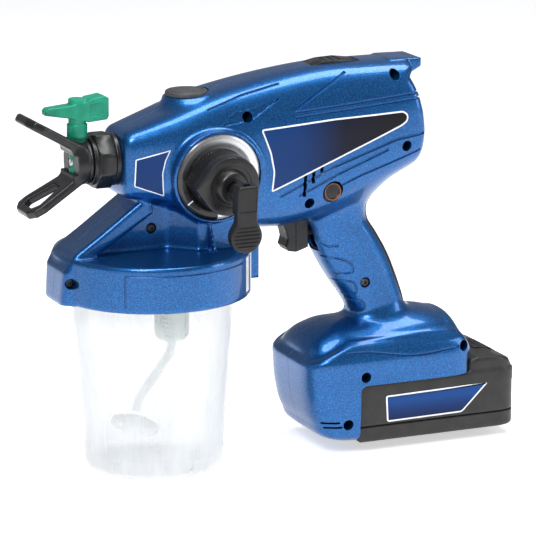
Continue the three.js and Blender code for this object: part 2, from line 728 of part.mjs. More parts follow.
const ROTOR = 2.5;
add('motor_can', turned('x', [
  [ROTOR + GAP, MOTOR.front], [MOTOR.radius, MOTOR.front], [MOTOR.radius, MOTOR.rear - 9],
  [MOTOR.radius - 1.6, MOTOR.rear - 9], [MOTOR.radius - 1.6, MOTOR.front + 1.6],
  [ROTOR + GAP, MOTOR.front + 1.6],
], [0, MOTOR_Z], 28), 'steel');

add('motor_end_cap', turned('x', [
  [ROTOR + GAP, MOTOR.rear - 4], [MOTOR.radius - 2, MOTOR.rear - 4], [MOTOR.radius - 2, MOTOR.rear - 8.6],
  [MOTOR.radius, MOTOR.rear - 8.6], [MOTOR.radius, MOTOR.rear], [8, MOTOR.rear + 1.5],
  [8, MOTOR.rear + 4], [ROTOR + GAP, MOTOR.rear + 4],
], [0, MOTOR_Z], 28), 'black');

// The rotor, its shaft and the pinion pressed on it. A tooth gap faces the gear's top tooth.
add('motor_rotor', join(
  gearSolid(PINION_TEETH, MOTOR_Z, 0),
  rod('x', ROTOR, GEAR.front - 2, MOTOR.rear + 2, [0, MOTOR_Z], 16),
  rod('x', 14, MOTOR.front + 8, MOTOR.rear - 13, [0, MOTOR_Z], 24),
), 'steel');

// ---------------------------------------------------------------- outlet, nut, guard and spray tip

add('outlet_tube', turned('x', [
  [PORT, -44], [8.4, -44], [9, -43.2], [9, -24], [5, -24], [5, 7], [PORT, 7],
], [0, SPRAY_Z], 24), 'steel');

add('nose_collar', turned('x', [
  [9.3, -31.3], [16.8, -31.3], [17.7, -30.4], [17.7, -27.6], [9.3, -27.6],
], [0, SPRAY_Z], 32), 'black');

function octagon(flats) {
  const corner = flats / 2 / Math.cos(Math.PI / 8);
  return outline(Array.from({ length: 8 }, (_, i) => {
    const angle = ((i + 0.5) * Math.PI) / 4;
    return [corner * Math.cos(angle), corner * Math.sin(angle)];
  }));
}

add('guard_nut', cut(
  prism('x', octagon(NUT.flats), NUT.front, NUT.rear).translate([0, 0, SPRAY_Z]),
  rod('x', 9.4, NUT.front - 1, NUT.rear + 1, [0, SPRAY_Z], 24),
  rod('x', 13.4, NUT.front - 1, -40.6, [0, SPRAY_Z], 24),
), 'black');

// One looped wing of the guard, drawn flat along -X from its root and then tilted.
function wing(side) {
  const { length, width, thickness, tilt } = WING;
  const [root, tipHalf] = [12, width / 2];
  const plan = new THREE.Shape();
  plan.moveTo(4, -root);
  plan.lineTo(-length + 12, -tipHalf);
  plan.quadraticCurveTo(-length, -tipHalf, -length, -tipHalf + 9);
  plan.lineTo(-length, tipHalf - 9);
  plan.quadraticCurveTo(-length, tipHalf, -length + 12, tipHalf);
  plan.lineTo(4, root);
  const loop = outline([
    [-12, -6], [-length + 9, -tipHalf + 7], [-length + 6, -tipHalf + 10],
    [-length + 6, tipHalf - 10], [-length + 9, tipHalf - 7], [-12, 6],
  ]);
  const plate = cut(
    prism('z', plan, -thickness / 2, thickness / 2, 5),
    prism('z', loop, -thickness, thickness),
  );
  return moved(plate, [TIP_X - 3, 0, SPRAY_Z + side * 11], [0, side * tilt, 0]);
}

function tipGuard() {
  const body = join(
    rod('x', 15.5, TIP_X - 7.5, NUT.front - GAP, [0, SPRAY_Z], 32),
    rod('x', 13, NUT.front - 1, -44.6, [0, SPRAY_Z], 32),
  );
  const mouth = box([TIP_X - 60, TIP_X - 4.5], [-30, 30], [SPRAY_Z - 6.5, SPRAY_Z + 6.5]);
  return cut(
    join(cut(body, mouth), wing(1), wing(-1)),
    rod('z', BARREL + 0.3, SPRAY_Z - 12, SPRAY_Z + 40, [TIP_X, 0], 24),
    rod('x', 6.3, SEAL_FRONT - GAP, -40, [0, SPRAY_Z], 24),
    rod('x', 2.2, TIP_X - 1, -40, [0, SPRAY_Z], 16),
  );
}
add('tip_guard', tipGuard(), 'black');

add('tip_seal', turned('x', [
  [PORT, SEAL_FRONT], [6, SEAL_FRONT], [6, -44.3], [PORT, -44.3],
], [0, SPRAY_Z], 24), 'brass');

// The reversible tip: a barrel across the spray axis with an arrow-shaped handle on top.
function sprayTip() {
  const arrow = outline([
    [-76.5, 248.6], [-58, 245.4], [-47, 242.6], [-34, 243.6], [-32.6, 246], [-32.6, 258.4], [-36, 260],
    [-45.5, 258.6], [-51.5, 255.2], [-74.5, 253.4], [-76.5, 251.8],
  ]);
  const plan = outline([
    [-78, -4.6], [-50, -6.2], [-47, -7.6], [-31, -7.6], [-31, 7.6], [-47, 7.6], [-50, 6.2], [-78, 4.6],
  ]);
  return cut(
    join(
      prism('y', arrow, -10, 10).intersect(prism('z', plan, 230, 270)),
      rod('z', BARREL, SPRAY_Z - 11, 246, [TIP_X, 0], 24),
    ),
    rod('x', PORT, TIP_X - 10, TIP_X + 10, [0, SPRAY_Z], 12),
  );
}
add('spray_tip', sprayTip(), 'green');

// ---------------------------------------------------------------- cup and suction

// The cup's profile: a rounded foot, a slight taper and a plain rim.
function cupWall() {
  const { foot, mouth, rim, wall, floor, corner } = CUP;
  const flare = (mouth - foot) / (COLLAR.bottom - corner);
  const radiusAt = (z) => foot + flare * (z - corner);
  const steps = [0, 30, 60, 90].map(rad);
  const outer = steps.map((a) => [foot - corner + corner * Math.sin(a), corner - corner * Math.cos(a)]);
  const inner = steps.map((a) => [
    foot - corner + (corner - wall) * Math.sin(a), corner - (corner - floor) * Math.cos(a),
  ]);
  return turned('z', [
    [0, 0], ...outer, [radiusAt(rim), rim], [radiusAt(rim) - wall, rim], ...inner.reverse(), [0, floor],
  ], [0, 0], ROUND);
}
add('cup', cupWall(), 'clear');

const COVER = { radius: 62.6, skirt: 125, deck: 138.2, thickness: 2.6 };
function cupCover() {
  const { radius, skirt, deck, thickness } = COVER;
  const dish = turned('z', [
    [0, deck], [radius - 2.2, deck], [radius - 2.2, skirt], [radius, skirt],
    [radius, deck + thickness], [0, deck + thickness],
  ], [0, 0], ROUND);
  const grip = collarWindow(8.4, 6.6, skirt + 0.2, COLLAR.top - 3.8);
  const curved = grip.intersect(rod('z', COLLAR.radius - 0.6, 100, 200, [0, 0], ROUND));
  return cut(join(dish, curved), rod('z', 8.4, 120, 160, [INLET_X, 0], 24));
}
add('cup_cover', cupCover(), 'white');

add('cup_gasket', turned('z', [
  [54.6, CUP.rim + 0.3], [60, CUP.rim + 0.3], [60, COVER.deck - 0.3], [54.6, COVER.deck - 0.3],
], [0, 0], ROUND), 'rubber');

// The threaded suction fitting hangs through the cover; its pipe runs up the neck to the pump.
const FITTING = { radius: 14, low: 87, collar: 8, pipe: 5, top: 185.7 };
add('inlet_fitting', cut(
  join(
    rod('z', FITTING.radius, FITTING.low, COVER.deck - GAP, [INLET_X, 0], 28),
    rod('z', FITTING.collar, COVER.deck - 1, 148, [INLET_X, 0], 20),
    rod('z', FITTING.pipe, 147, FITTING.top, [INLET_X, 0], 20),
  ),
  rod('z', 3, FITTING.low + 8, FITTING.top + 1, [INLET_X, 0], 12),
  rod('z', 3.6, FITTING.low - 1, FITTING.low + 9, [INLET_X, 0], 14),
), 'green');

const STRAINER = { x: -16, y: -4, z: 31, radius: 16.5, height: 9, lean: 14 };

// A tube along a smooth curve through the given points.
function tube(points, radius, steps, bore = 0) {
  const path = new THREE.CatmullRomCurve3(points.map((p) => new THREE.Vector3(...p)));
  const section = new THREE.Shape();
  section.absarc(0, 0, radius, 0, 2 * Math.PI);
  const make = (shape) => solid(new THREE.ExtrudeGeometry(shape, {
    extrudePath: path, steps, curveSegments: 4, bevelEnabled: false,
  }));
  if (bore === 0) return make(section);
  const hole = new THREE.Path();
  hole.absarc(0, 0, bore, 0, 2 * Math.PI, true);
  section.holes.push(hole);
  return make(section);
}

add('suction_tube', tube([
  [INLET_X, 0, FITTING.low + 7.4], [INLET_X - 1, 0, FITTING.low - 8], [INLET_X - 10, -1, 66],
  [STRAINER.x + 6, -3, 50], [STRAINER.x + 1.6, STRAINER.y, STRAINER.z + 8.4],
], 3.2, 12, 1.9), 'clear');

// A shallow round sieve with a spigot for the tube and slots between its ribs.
function strainer() {
  const { x, y, z, radius, height, lean } = STRAINER;
  const body = cut(
    turned('z', [[0, 0], [radius - 1.5, 0], [radius, 1.5], [radius, height - 3], [8, height], [0, height]],
      [0, 0], 24),
    turned('z', [[0, -1], [radius - 3, -1], [radius - 3, height - 4], [0, height - 2.5]], [0, 0], 16),
  );
  const ribs = Array.from({ length: 3 }, (_, i) => moved(
    box([-radius + 1, radius - 1], [-0.8, 0.8], [0.2, height - 2]), [0, 0, 0], [0, 0, i * 60]));
  const hub = turned('z', [[0, 0.4], [5, 0.4], [5, height + 0.6], [0, height + 0.6]], [0, 0], 12);
  return moved(
    cut(join(body, hub, ...ribs), rod('z', 1.9, height - 4, height + 5, [0, 0], 12)),
    [x, y, z - height / 2], [0, lean, 0]);
}
add('strainer', strainer(), 'white');

// ---------------------------------------------------------------- battery

// The pack seen from above: a flat front and a bowed rear.
function packPlan(inset) {
  const [front, half, rear] = [PACK.front + inset, PACK.half - inset, PACK.rear - inset];
  const plan = new THREE.Shape();
  plan.moveTo(front, -half);
  plan.lineTo(rear - 16, -half);
  plan.quadraticCurveTo(rear - 2, -half, rear - 0.8, -half + 20);
  plan.quadraticCurveTo(rear + 0.4, 0, rear - 0.8, half - 20);
  plan.quadraticCurveTo(rear - 2, half, rear - 16, half);
  plan.lineTo(front, half);
  return plan;
}

const LATCH = { front: 206, pocket: 238.4, rear: 252.6, half: 14, low: 53.6, top: 59.6, travel: 3 };
const BLADES = { count: 4, pitch: 10, rear: 174, half: 0.6 };
const bladeOffsets = Array.from(
  { length: BLADES.count },
  (_, i) => (i - (BLADES.count - 1) / 2) * BLADES.pitch,
);

function batteryCase() {
  const nose = prism('y', roundedRect(PACK.front, 320, -40, PACK.top, BAY.corner), -60, 60);
  const shell = cut(
    prism('z', packPlan(0), PACK.seam + GAP, PACK.top).intersect(nose),
    prism('z', packPlan(WALL + 0.8), PACK.seam - 1, PACK.top - WALL - 0.8),
  );
  const heel = prism('y', outline([
    [222.4, PACK.top - 1], [223.6, 57.6], [229, PACK.heel + 0.6], [243, PACK.heel], [256, 55.5],
    [PACK.rear, PACK.top - 1],
  ]), -60, 60).intersect(prism('z', packPlan(0.4), 40, 70));
  const tower = join(
    box([164, 230], [-RAIL.neck, RAIL.neck], [PACK.top - 1, RAIL.low + 1]),
    box([164, 230], [-RAIL.head, RAIL.head], [RAIL.low, RAIL.high]),
  );
  const slots = bladeOffsets.map((y) => box([160, BLADES.rear + 1.5], [y - 1.4, y + 1.4], [52.4, 60]));
  const floor = LATCH.low - LATCH.travel - CLEARANCE;
  return cut(
    join(shell, heel, tower),
    ...slots,
    box([LATCH.front - CLEARANCE, LATCH.pocket + 2], [-6.5, 6.5], [floor, 70]),
    box([LATCH.pocket, LATCH.rear], [-LATCH.half - CLEARANCE, LATCH.half + CLEARANCE], [floor, 70]),
  );
}
add('battery_case', batteryCase(), 'black');

function batteryTray() {
  return cut(
    join(
      prism('z', packPlan(1.4), PACK.foot, PACK.foot + 2),
      prism('z', packPlan(0), PACK.foot + 1.4, PACK.seam),
    ),
    prism('z', packPlan(WALL), PACK.foot + 2.4, PACK.seam + 1),
  );
}
add('battery_tray', batteryTray(), 'black');

function batteryLatch() {
  return join(
    box([LATCH.front, LATCH.pocket + 2], [-6, 6], [LATCH.low, 56.4]),
    prism('y', outline([
      [LATCH.pocket + CLEARANCE, LATCH.low], [LATCH.rear - CLEARANCE, LATCH.low],
      [LATCH.rear - CLEARANCE, 57.6], [LATCH.rear - 3, LATCH.top - 1],
      [LATCH.pocket + 3, LATCH.top + 0.6], [LATCH.pocket + CLEARANCE, LATCH.top],
    ]), -LATCH.half, LATCH.half),
  );
}
add('battery_latch', batteryLatch(), 'rubber');

// A row of cells welded together by a nickel strip at each end.
function cellPack() {
  const z = PACK.foot + 12.2;
  const pitch = 19.4;
  const first = 156;
  const half = CELL.length / 2;
  const cells = Array.from({ length: CELL.count }, (_, i) => (
    rod('y', CELL.radius, -half, half, [first + i * pitch, z], 20)));
  const strips = [-1, 1].map((side) => {
    const [near, far] = [side * (half - 0.2), side * (half + 0.4)].sort((a, b) => a - b);
    return box([first - 4, first + (CELL.count - 1) * pitch + 4], [near, far], [z - 3, z + 3]);
  });
  return join(...cells, ...strips);
}
add('cell_pack', cellPack(), 'silver');

add('battery_board', join(
  box([150, 232], [-26, 26], [30, 31.6]),
  box([160, 172], [-8, 8], [31, 36]),
  box([196, 206], [-20, -8], [31, 34]),
), 'board');

// ---------------------------------------------------------------- terminals, board and leads

add('terminal_block', join(
  box([157.6, 163], [-20.5, 20.5], [52.9, 57]),
  ...bladeOffsets.map((y) => box([162, BLADES.rear], [y - BLADES.half, y + BLADES.half], [53.4, 56.6])),
), 'brass');

add('control_board', join(
  box([150, 206], [-24, 24], [66, 67.6]),
  box([156, 168], [-12, 12], [67, 75]),
  box([178, 190], [-18, -6], [67, 72]),
  box([178, 198], [4, 16], [67, 71]),
), 'board');

const LEAD = 1.7;
add('battery_lead', tube([
  [172, 0, 68.4], [172, 0, 80], [171, 0, 98], [165, 0, 116], [146, 0, 130], [140, 0, 138],
  [140, 0, SWITCH.low - 0.6],
], LEAD, 14), 'wire');
add('motor_lead', tube([
  [136, 0, SWITCH.high + 0.6], [136.4, 0, 175], [142, 2, 187], [156, 5, 203], [164.8, 6, 212],
  [169.4, 6, 220], [169.8, 6, 227.4],
], LEAD, 16), 'wire');

// ---------------------------------------------------------------- housing screws

for (const { name, x, z, depth = SCREW.depth } of SCREW_SEATS) {
  const { head, shank } = SCREW;
  const face = -depth - 3;
  add(name, turned('y', [
    [0, face + 1.2], [1.6, face], [head, face], [head, -depth - GAP], [shank, -depth - GAP], [shank, depth],
    [0, depth],
  ], [x, z], 8), 'steel');
}

export default sprayer;
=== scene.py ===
"""The visual model of a cordless airless paint sprayer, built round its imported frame.

Lengths are millimetres until a mesh is made from them, when they become metres.
+X runs back to the battery, -Y is the operator's left and +Z is up.
"""
import json
import math

import bmesh
import bpy
import numpy as np
from mathutils import Matrix, Vector

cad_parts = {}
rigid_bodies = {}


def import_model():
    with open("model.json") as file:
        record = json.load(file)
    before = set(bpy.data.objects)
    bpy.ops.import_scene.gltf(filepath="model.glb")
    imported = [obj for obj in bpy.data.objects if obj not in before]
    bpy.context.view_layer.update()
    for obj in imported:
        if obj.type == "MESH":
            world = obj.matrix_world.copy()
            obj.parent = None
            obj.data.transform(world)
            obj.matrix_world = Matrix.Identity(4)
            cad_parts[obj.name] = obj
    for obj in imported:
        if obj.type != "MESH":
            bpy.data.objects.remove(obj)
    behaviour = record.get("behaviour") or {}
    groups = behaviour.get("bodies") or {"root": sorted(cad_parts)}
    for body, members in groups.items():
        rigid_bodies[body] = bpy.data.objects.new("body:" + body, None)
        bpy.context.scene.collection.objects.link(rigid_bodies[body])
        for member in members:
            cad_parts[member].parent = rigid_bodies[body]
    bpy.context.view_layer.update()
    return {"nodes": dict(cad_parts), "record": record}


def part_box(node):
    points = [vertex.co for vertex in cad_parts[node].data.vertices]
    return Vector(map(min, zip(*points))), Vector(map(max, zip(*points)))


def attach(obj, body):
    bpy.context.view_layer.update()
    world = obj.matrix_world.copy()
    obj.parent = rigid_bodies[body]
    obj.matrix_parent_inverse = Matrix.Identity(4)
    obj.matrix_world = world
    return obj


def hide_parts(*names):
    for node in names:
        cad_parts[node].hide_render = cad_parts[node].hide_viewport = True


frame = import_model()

MM = 0.001


def box(node):
    """The lowest and highest corners of a CAD node, in millimetres."""
    low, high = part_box(node)
    return np.array(low) / MM, np.array(high) / MM


def joint(name):
    return next(j for j in frame["record"]["behaviour"]["joints"] if j["name"] == name)


def pivot(name):
    return np.array(joint(name)["pos_m"]) / MM


# ---------------------------------------------------------------- places taken from the frame

DIAL = pivot("pressure_knob_turn")
DIAL_AXIS = np.array(joint("pressure_knob_turn")["axis"])
DIAL_RADIUS = (box("pressure_dial")[1] - box("pressure_dial")[0])[0] / 2
SPRAY_Z = pivot("tip_guard_turn")[2]
TIP_X = pivot("spray_tip_reverse")[0]
CUP_LOW, CUP_HIGH = box("cup")
COVER_LOW = box("cup_cover")[0]
CASE_LOW, CASE_HIGH = box("battery_case")
TRAY_LOW, TRAY_HIGH = box("battery_tray")
CAP_LOW, CAP_HIGH = box("service_cap")
INLET_LOW, INLET_HIGH = box("inlet_fitting")
INLET_X = (INLET_LOW[0] + INLET_HIGH[0]) / 2
LOCK_LOW, LOCK_HIGH = box("trigger_lock")
HOUSING_LOW = box("left_housing")[0]
SCREW_NAMES = [name for name in frame["nodes"] if name.startswith("screw_")]
WALL = 2.6
SEAM = 0.15  # each half of the housing stops this far from the centre plane
COLLAR_RADIUS = -HOUSING_LOW[1]
COLLAR_BOTTOM = CUP_HIGH[2] - 14.4
COLLAR_TOP = INLET_HIGH[2] - 32.7


# ---------------------------------------------------------------- meshes

def piece(name, points, faces, smooth=35):
    """A mesh object from points in millimetres, shaded smooth below an angle in degrees."""
    mesh = bpy.data.meshes.new(name)
    mesh.from_pydata((np.asarray(points, dtype=float) * MM).tolist(), [], [list(f) for f in faces])
    mesh.validate()
    made = bpy.data.objects.new(name, mesh)
    bpy.context.scene.collection.objects.link(made)
    shade(made, smooth)
    return made


def shade(made, smooth):
    made.data.shade_smooth()
    made.data.set_sharp_from_angle(angle=math.radians(smooth))


def bake(made):
    """Replaces an object's mesh by the result of its modifiers."""
    graph = bpy.context.evaluated_depsgraph_get()
    graph.update()
    mesh = bpy.data.meshes.new_from_object(made.evaluated_get(graph))
    made.modifiers.clear()
    old, made.data = made.data, mesh
    bpy.data.meshes.remove(old)


def carve(made, tools, operation="DIFFERENCE", smooth=35):
    """Cuts `made` by each tool, or joins or intersects it with them, and removes the tools."""
    for tool in tools:
        cutter = made.modifiers.new("carve", "BOOLEAN")
        cutter.object = tool
        cutter.operation = operation
        cutter.solver = "MANIFOLD"
    bake(made)
    for tool in tools:
        bpy.data.objects.remove(tool)
    shade(made, smooth)
    return made


def rounded(made, width, segments=2, angle=30, smooth=50):
    """Bevels every edge sharper than an angle."""
    bevel = made.modifiers.new("edge", "BEVEL")
    bevel.width = width * MM
    bevel.segments = segments
    bevel.limit_method = "ANGLE"
    bevel.angle_limit = math.radians(angle)
    bevel.harden_normals = True
    bake(made)
    shade(made, smooth)
    return made


AXES = {"x": (1, 2, 0), "y": (0, 2, 1), "z": (0, 1, 2)}


def placed(axis, across, up, along):
    """Points whose three coordinates are given as (across, up, along) an axis."""
    order = AXES[axis]
    points = np.zeros((len(across), 3))
    for coordinate, values in zip(order, (across, up, along)):
        points[:, coordinate] = values
    return points


def stack(name, rings, smooth=35):
    """Skins over rings of equally many points, closed at both ends."""
    count = len(rings[0])
    points = np.concatenate(rings)
    faces = []
    for level in range(len(rings) - 1):
        for i in range(count):
            j = (i + 1) % count
            a, b = level * count, (level + 1) * count
            faces.append((a + i, a + j, b + j, b + i))
    faces.append(tuple(reversed(range(count))))
    faces.append(tuple(range((len(rings) - 1) * count, len(rings) * count)))
    made = piece(name, points, faces, smooth)
    return face_outwards(made)


def face_outwards(made):
    shape = bmesh.new()
    shape.from_mesh(made.data)
    bmesh.ops.recalc_face_normals(shape, faces=shape.faces)
    if shape.calc_volume(signed=True) < 0:
        bmesh.ops.reverse_faces(shape, faces=shape.faces)
    shape.to_mesh(made.data)
    shape.free()
    return made


def prism(axis, outline, low, high, name="prism", smooth=35):
    """An outline of (across, up) points swept from low to high along an axis."""
    across, up = np.array(outline, dtype=float).T
    rings = [placed(axis, across, up, np.full(len(across), end)) for end in (low, high)]
    return stack(name, rings, smooth)


def block(x, y, z, name="block"):
    return prism("z", [(x[0], y[0]), (x[1], y[0]), (x[1], y[1]), (x[0], y[1])], z[0], z[1], name)


def circle(radius, sides, centre=(0, 0)):
    turn = np.arange(sides) * 2 * np.pi / sides
    return np.stack([centre[0] + radius * np.cos(turn), centre[1] + radius * np.sin(turn)], 1)


def rod(axis, radius, low, high, centre, sides=32):
    return prism(axis, circle(radius, sides, centre), low, high)


def turned(name, axis, profile, centre=(0, 0), sides=96, smooth=35):
    """A closed profile of (radius, height) pairs turned about an axis."""
    count = len(profile)
    points = []
    for turn in np.arange(sides) * 2 * np.pi / sides:
        radius, height = np.array(profile, dtype=float).T
        across = centre[0] + np.maximum(radius, 0.001) * np.cos(turn)
        points.append(placed(axis, across, centre[1] + np.maximum(radius, 0.001) * np.sin(turn), height))
    faces = []
    for step in range(sides):
        for i in range(count):
            a, b = step * count, (step + 1) % sides * count
            j = (i + 1) % count
            faces.append((a + i, a + j, b + j, b + i))
    return face_outwards(piece(name, np.concatenate(points), faces, smooth))


def softened(profile, radius, steps=3):
    """Rounds the corners of a closed outline or profile."""
    points = np.array(profile, dtype=float)
    result = []
    for before, corner, after in zip(np.roll(points, 1, 0), points, np.roll(points, -1, 0)):
        back, ahead = before - corner, after - corner
        reach = min(radius, 0.45 * np.linalg.norm(back), 0.45 * np.linalg.norm(ahead))
        start = corner + back / np.linalg.norm(back) * reach
        end = corner + ahead / np.linalg.norm(ahead) * reach
        for t in np.linspace(0, 1, steps + 1):
            result.append((1 - t) ** 2 * start + 2 * t * (1 - t) * corner + t ** 2 * end)
    return np.array(result)


def swept(name, path, radius, sides=12, smooth=60):
    """A round bar along a path of points, with flat ends."""
    path = np.array(path, dtype=float)
    ahead = np.gradient(path, axis=0)
    ahead /= np.linalg.norm(ahead, axis=1)[:, None]
    side = np.cross(ahead[0], [0.13, 0.31, 0.94])
    radii = np.broadcast_to(radius, len(path))
    rings = []
    for point, forward, reach in zip(path, ahead, radii):
        side = side - forward * side.dot(forward)
        side /= np.linalg.norm(side)
        up = np.cross(forward, side)
        turn = (np.arange(sides) * 2 * np.pi / sides)[:, None]
        rings.append(point + reach * (np.cos(turn) * side + np.sin(turn) * up))
    return stack(name, rings, smooth)


def smooth_path(points, count):
    """A Catmull-Rom curve through points, sampled evenly in its own parameter."""
    points = np.array(points, dtype=float)
    at = np.arange(len(points))
    return np.stack([table(at, column)(np.linspace(0, len(points) - 1, count)) for column in points.T], 1)


# ---------------------------------------------------------------- shapes as distance fields

def table(at, values):
    """A smooth curve through (at, value) pairs, as a function."""
    at, values = np.array(at, dtype=float), np.array(values, dtype=float)
    slope = np.gradient(values, at)

    def curve(x):
        x = np.clip(x, at[0], at[-1])
        i = np.clip(np.searchsorted(at, x, side="right") - 1, 0, len(at) - 2)
        width = at[i + 1] - at[i]
        t = (x - at[i]) / width
        start = values[i] * (1 + 2 * t) * (1 - t) ** 2 + slope[i] * width * t * (1 - t) ** 2
        end = values[i + 1] * t ** 2 * (3 - 2 * t) - slope[i + 1] * width * t ** 2 * (1 - t)
        return start + end
    return curve


def oval(u, v, u_range, v_range, power):
    """Distance, near its surface, to a squared-off oval that fills two ranges."""
    half_u, half_v = (u_range[1] - u_range[0]) / 2, (v_range[1] - v_range[0]) / 2
    a = np.maximum(np.abs(u - (u_range[0] + u_range[1]) / 2) / half_u, 1e-3)
    b = np.maximum(np.abs(v - (v_range[0] + v_range[1]) / 2) / half_v, 1e-3)
    in_u, in_v = a ** power, b ** power
    total = in_u + in_v
    size = total ** (1 / power)
    slope = size / total * np.sqrt((in_u / a / half_u) ** 2 + (in_v / b / half_v) ** 2)
    return (size - 1) / slope


def polygon(u, v, outline):
    """Signed distance to a polygon, negative inside."""
    corners = np.array(outline, dtype=float)
    nearest = np.full(np.broadcast(u, v).shape, 1e9)
    inside = np.zeros(nearest.shape, dtype=bool)
    for (u0, v0), (u1, v1) in zip(corners, np.roll(corners, -1, 0)):
        du, dv = u1 - u0, v1 - v0
        t = np.clip(((u - u0) * du + (v - v0) * dv) / (du * du + dv * dv), 0, 1)
        nearest = np.minimum(nearest, np.hypot(u - u0 - t * du, v - v0 - t * dv))
        if dv != 0:
            crosses = (v0 <= v) != (v1 <= v)
            inside ^= crosses & (u < u0 + (v - v0) * du / dv)
    return np.where(inside, -nearest, nearest)


def blended(a, b, reach):
    """The union of two fields, with a fillet."""
    mix = np.clip(0.5 + 0.5 * (b - a) / reach, 0, 1)
    return b + (a - b) * mix - reach * mix * (1 - mix)


def trimmed(a, b, reach):
    """What two fields share, with a rounded edge."""
    return -blended(-a, -b, reach)


def skin(name, field, low, high, step, level=0.0, smooth=35):
    """A closed quad mesh where a field equals a level, by surface nets and two Newton steps."""
    low = np.array(low, dtype=float)
    counts = np.ceil((np.array(high) - low) / step).astype(int) + 1
    x, y, z = [low[i] + step * np.arange(counts[i]) for i in range(3)]
    values = field(x[:, None, None], y[None, :, None], z[None, None, :]) - level
    for axis in range(3):
        edge = np.moveaxis(values, axis, 0)
        edge[0] = np.maximum(edge[0], step)
        edge[-1] = np.maximum(edge[-1], step)
    cells, crossings, quads = [], [], []
    for axis in range(3):
        start = np.moveaxis(values, axis, 0)[:-1]
        end = np.moveaxis(values, axis, 0)[1:]
        index = np.argwhere(np.moveaxis((start < 0) != (end < 0), 0, axis))
        following = index.copy()
        following[:, axis] += 1
        near, far = values[tuple(index.T)], values[tuple(following.T)]
        point = index.astype(float)
        point[:, axis] += near / (near - far)
        around = []
        for du, dv in ((0, 0), (1, 0), (1, 1), (0, 1)):
            cell = index.copy()
            cell[:, (axis + 1) % 3] -= du
            cell[:, (axis + 2) % 3] -= dv
            around.append(np.ravel_multi_index(cell.T, counts - 1))
        around = np.stack(around, 1)
        around[far < 0] = around[far < 0][:, ::-1]
        quads.append(around)
        cells.append(around.ravel())
        crossings.append(np.repeat(point, 4, axis=0))
    used, owner = np.unique(np.concatenate(cells), return_inverse=True)
    crossings = np.concatenate(crossings)
    share = np.bincount(owner)
    points = np.stack([np.bincount(owner, crossings[:, i]) / share for i in range(3)], 1) * step + low
    faces = np.searchsorted(used, np.concatenate(quads))
    for _ in range(2):
        points = points + onto(field, points, level, step / 2)
    return piece(name, points, faces, smooth)


def onto(field, points, level, limit):
    """How far each point should move to reach a field's level, at most `limit`."""
    nudge = 0.05
    value = field(*points.T) - level
    slope = np.zeros_like(points)
    for axis in range(3):
        shift = np.zeros(3)
        shift[axis] = nudge
        slope[:, axis] = (field(*(points + shift).T) - field(*(points - shift).T)) / (2 * nudge)
    size = np.maximum(np.linalg.norm(slope, axis=1), 0.3)
    move = -(value / size ** 2)[:, None] * slope
    length = np.maximum(np.linalg.norm(move, axis=1), 1e-9)[:, None]
    return move * np.minimum(1, limit / length)


# ---------------------------------------------------------------- housing

# The motor housing from the nose back: x, half width, low, high, squareness.
BODY_STATIONS = [
    (-27.3, 22.0, 191.0, 234.8, 5.2),
    (0, 28.2, 185.0, 244.5, 4.2),
    (30, 33.0, 173.0, 255.5, 3.5),
    (55, 34.8, 164.5, 261.5, 3.2),
    (85, 35.5, 160.5, 266.8, 3.0),
    (115, 35.5, 164.5, 270.3, 2.9),
    (160, 35.5, 183.0, 271.0, 2.9),
    (180, 34.6, 192.5, 270.8, 2.9),
    (191, 33.4, 198.0, 270.4, 3.0),
]
# Its side view: the rear face bows outwards under the end of the ridge.
TAIL = [
    (-27.3, 140), (190, 140), (190, 224), (188.5, 236), (185, 249), (180.5, 260),
    (185.5, 264.3), (185.5, 290), (-27.3, 290),
]
# The handle from the base up: z, front, rear, half width.
HANDLE_STATIONS = [
    (78, 152, 192, 20.5), (90, 148.6, 187.6, 18.2), (104, 141.1, 184.4, 17.2), (117, 131.9, 180, 17),
    (135, 121.3, 172.5, 17.4), (150, 114.8, 163.8, 18), (161, 111.5, 157, 18.5), (170, 109.5, 156.3, 19.5),
    (186, 107, 167.5, 23), (195, 107, 172, 24),
]
# The battery base from its foot up: z, front, half width.
BASE_REAR = 227.5
BASE_STATIONS = [
    (8.5, 121, 36), (12, 114, 39.5), (22, 107.5, 41.6), (38, 102.8, 42.5), (55, 101, 42.5),
    (68, 101.2, 42.5), (75, 103.5, 40), (79, 108, 36),
]
# The base seen from the side.
BASE_SIDE = [(90, 0), (90, 62), (106, 68), (131, 79.5), (208, 81.2), (217.5, 78.5), (227, 66), (223.5, 59),
             (223.5, 0)]
# The raised deck on the base, from the front back: x, half width, top.
DECK_STATIONS = [(105, 30, 75), (112, 34, 82.5), (124, 37, 88), (145, 38.5, 90), (208, 38.5, 90.8),
                 (217, 36, 88), (223, 30, 80)]
DECK_MIDDLE = 62
# The end of the ridge, which hangs over the back of the motor housing.
LIP = [(170, 258), (186, 260), (194.5, 264.5), (194.5, 270.6), (170, 270.9)]
# The front: the strut, its web, the neck over the collar and the gussets beside it.
STRUT = [(-8, 194), (-46, 167), (-62, 156.3), (-70, 144.6), (-72, COLLAR_BOTTOM), (-50, COLLAR_BOTTOM),
         (-50, 152), (-6, 180)]
STRUT_PLAN = [(-76, -11), (-66, -24), (30, -24), (30, 24), (-66, 24), (-76, 11)]
WEB = [(-56, COLLAR_TOP - 2), (-10, 186), (12, 186), (12, COLLAR_TOP - 2)]
NECK_PLAN = [(6, -9), (23.5, -26.5), (52, -26.5), (60, -18.5), (60, 18.5), (52, 26.5), (23.5, 26.5), (6, 9)]
GUSSET = [(24, COLLAR_TOP - 2), (38, COLLAR_TOP - 2), (28, 171), (24, 171)]


def stations(rows):
    """A smooth curve for each column after the first."""
    columns = list(zip(*rows))
    return [table(columns[0], column) for column in columns[1:]]


BODY_CURVES = stations(BODY_STATIONS)
HANDLE_CURVES = stations(HANDLE_STATIONS)
BASE_CURVES = stations(BASE_STATIONS)
DECK_CURVES = stations(DECK_STATIONS)


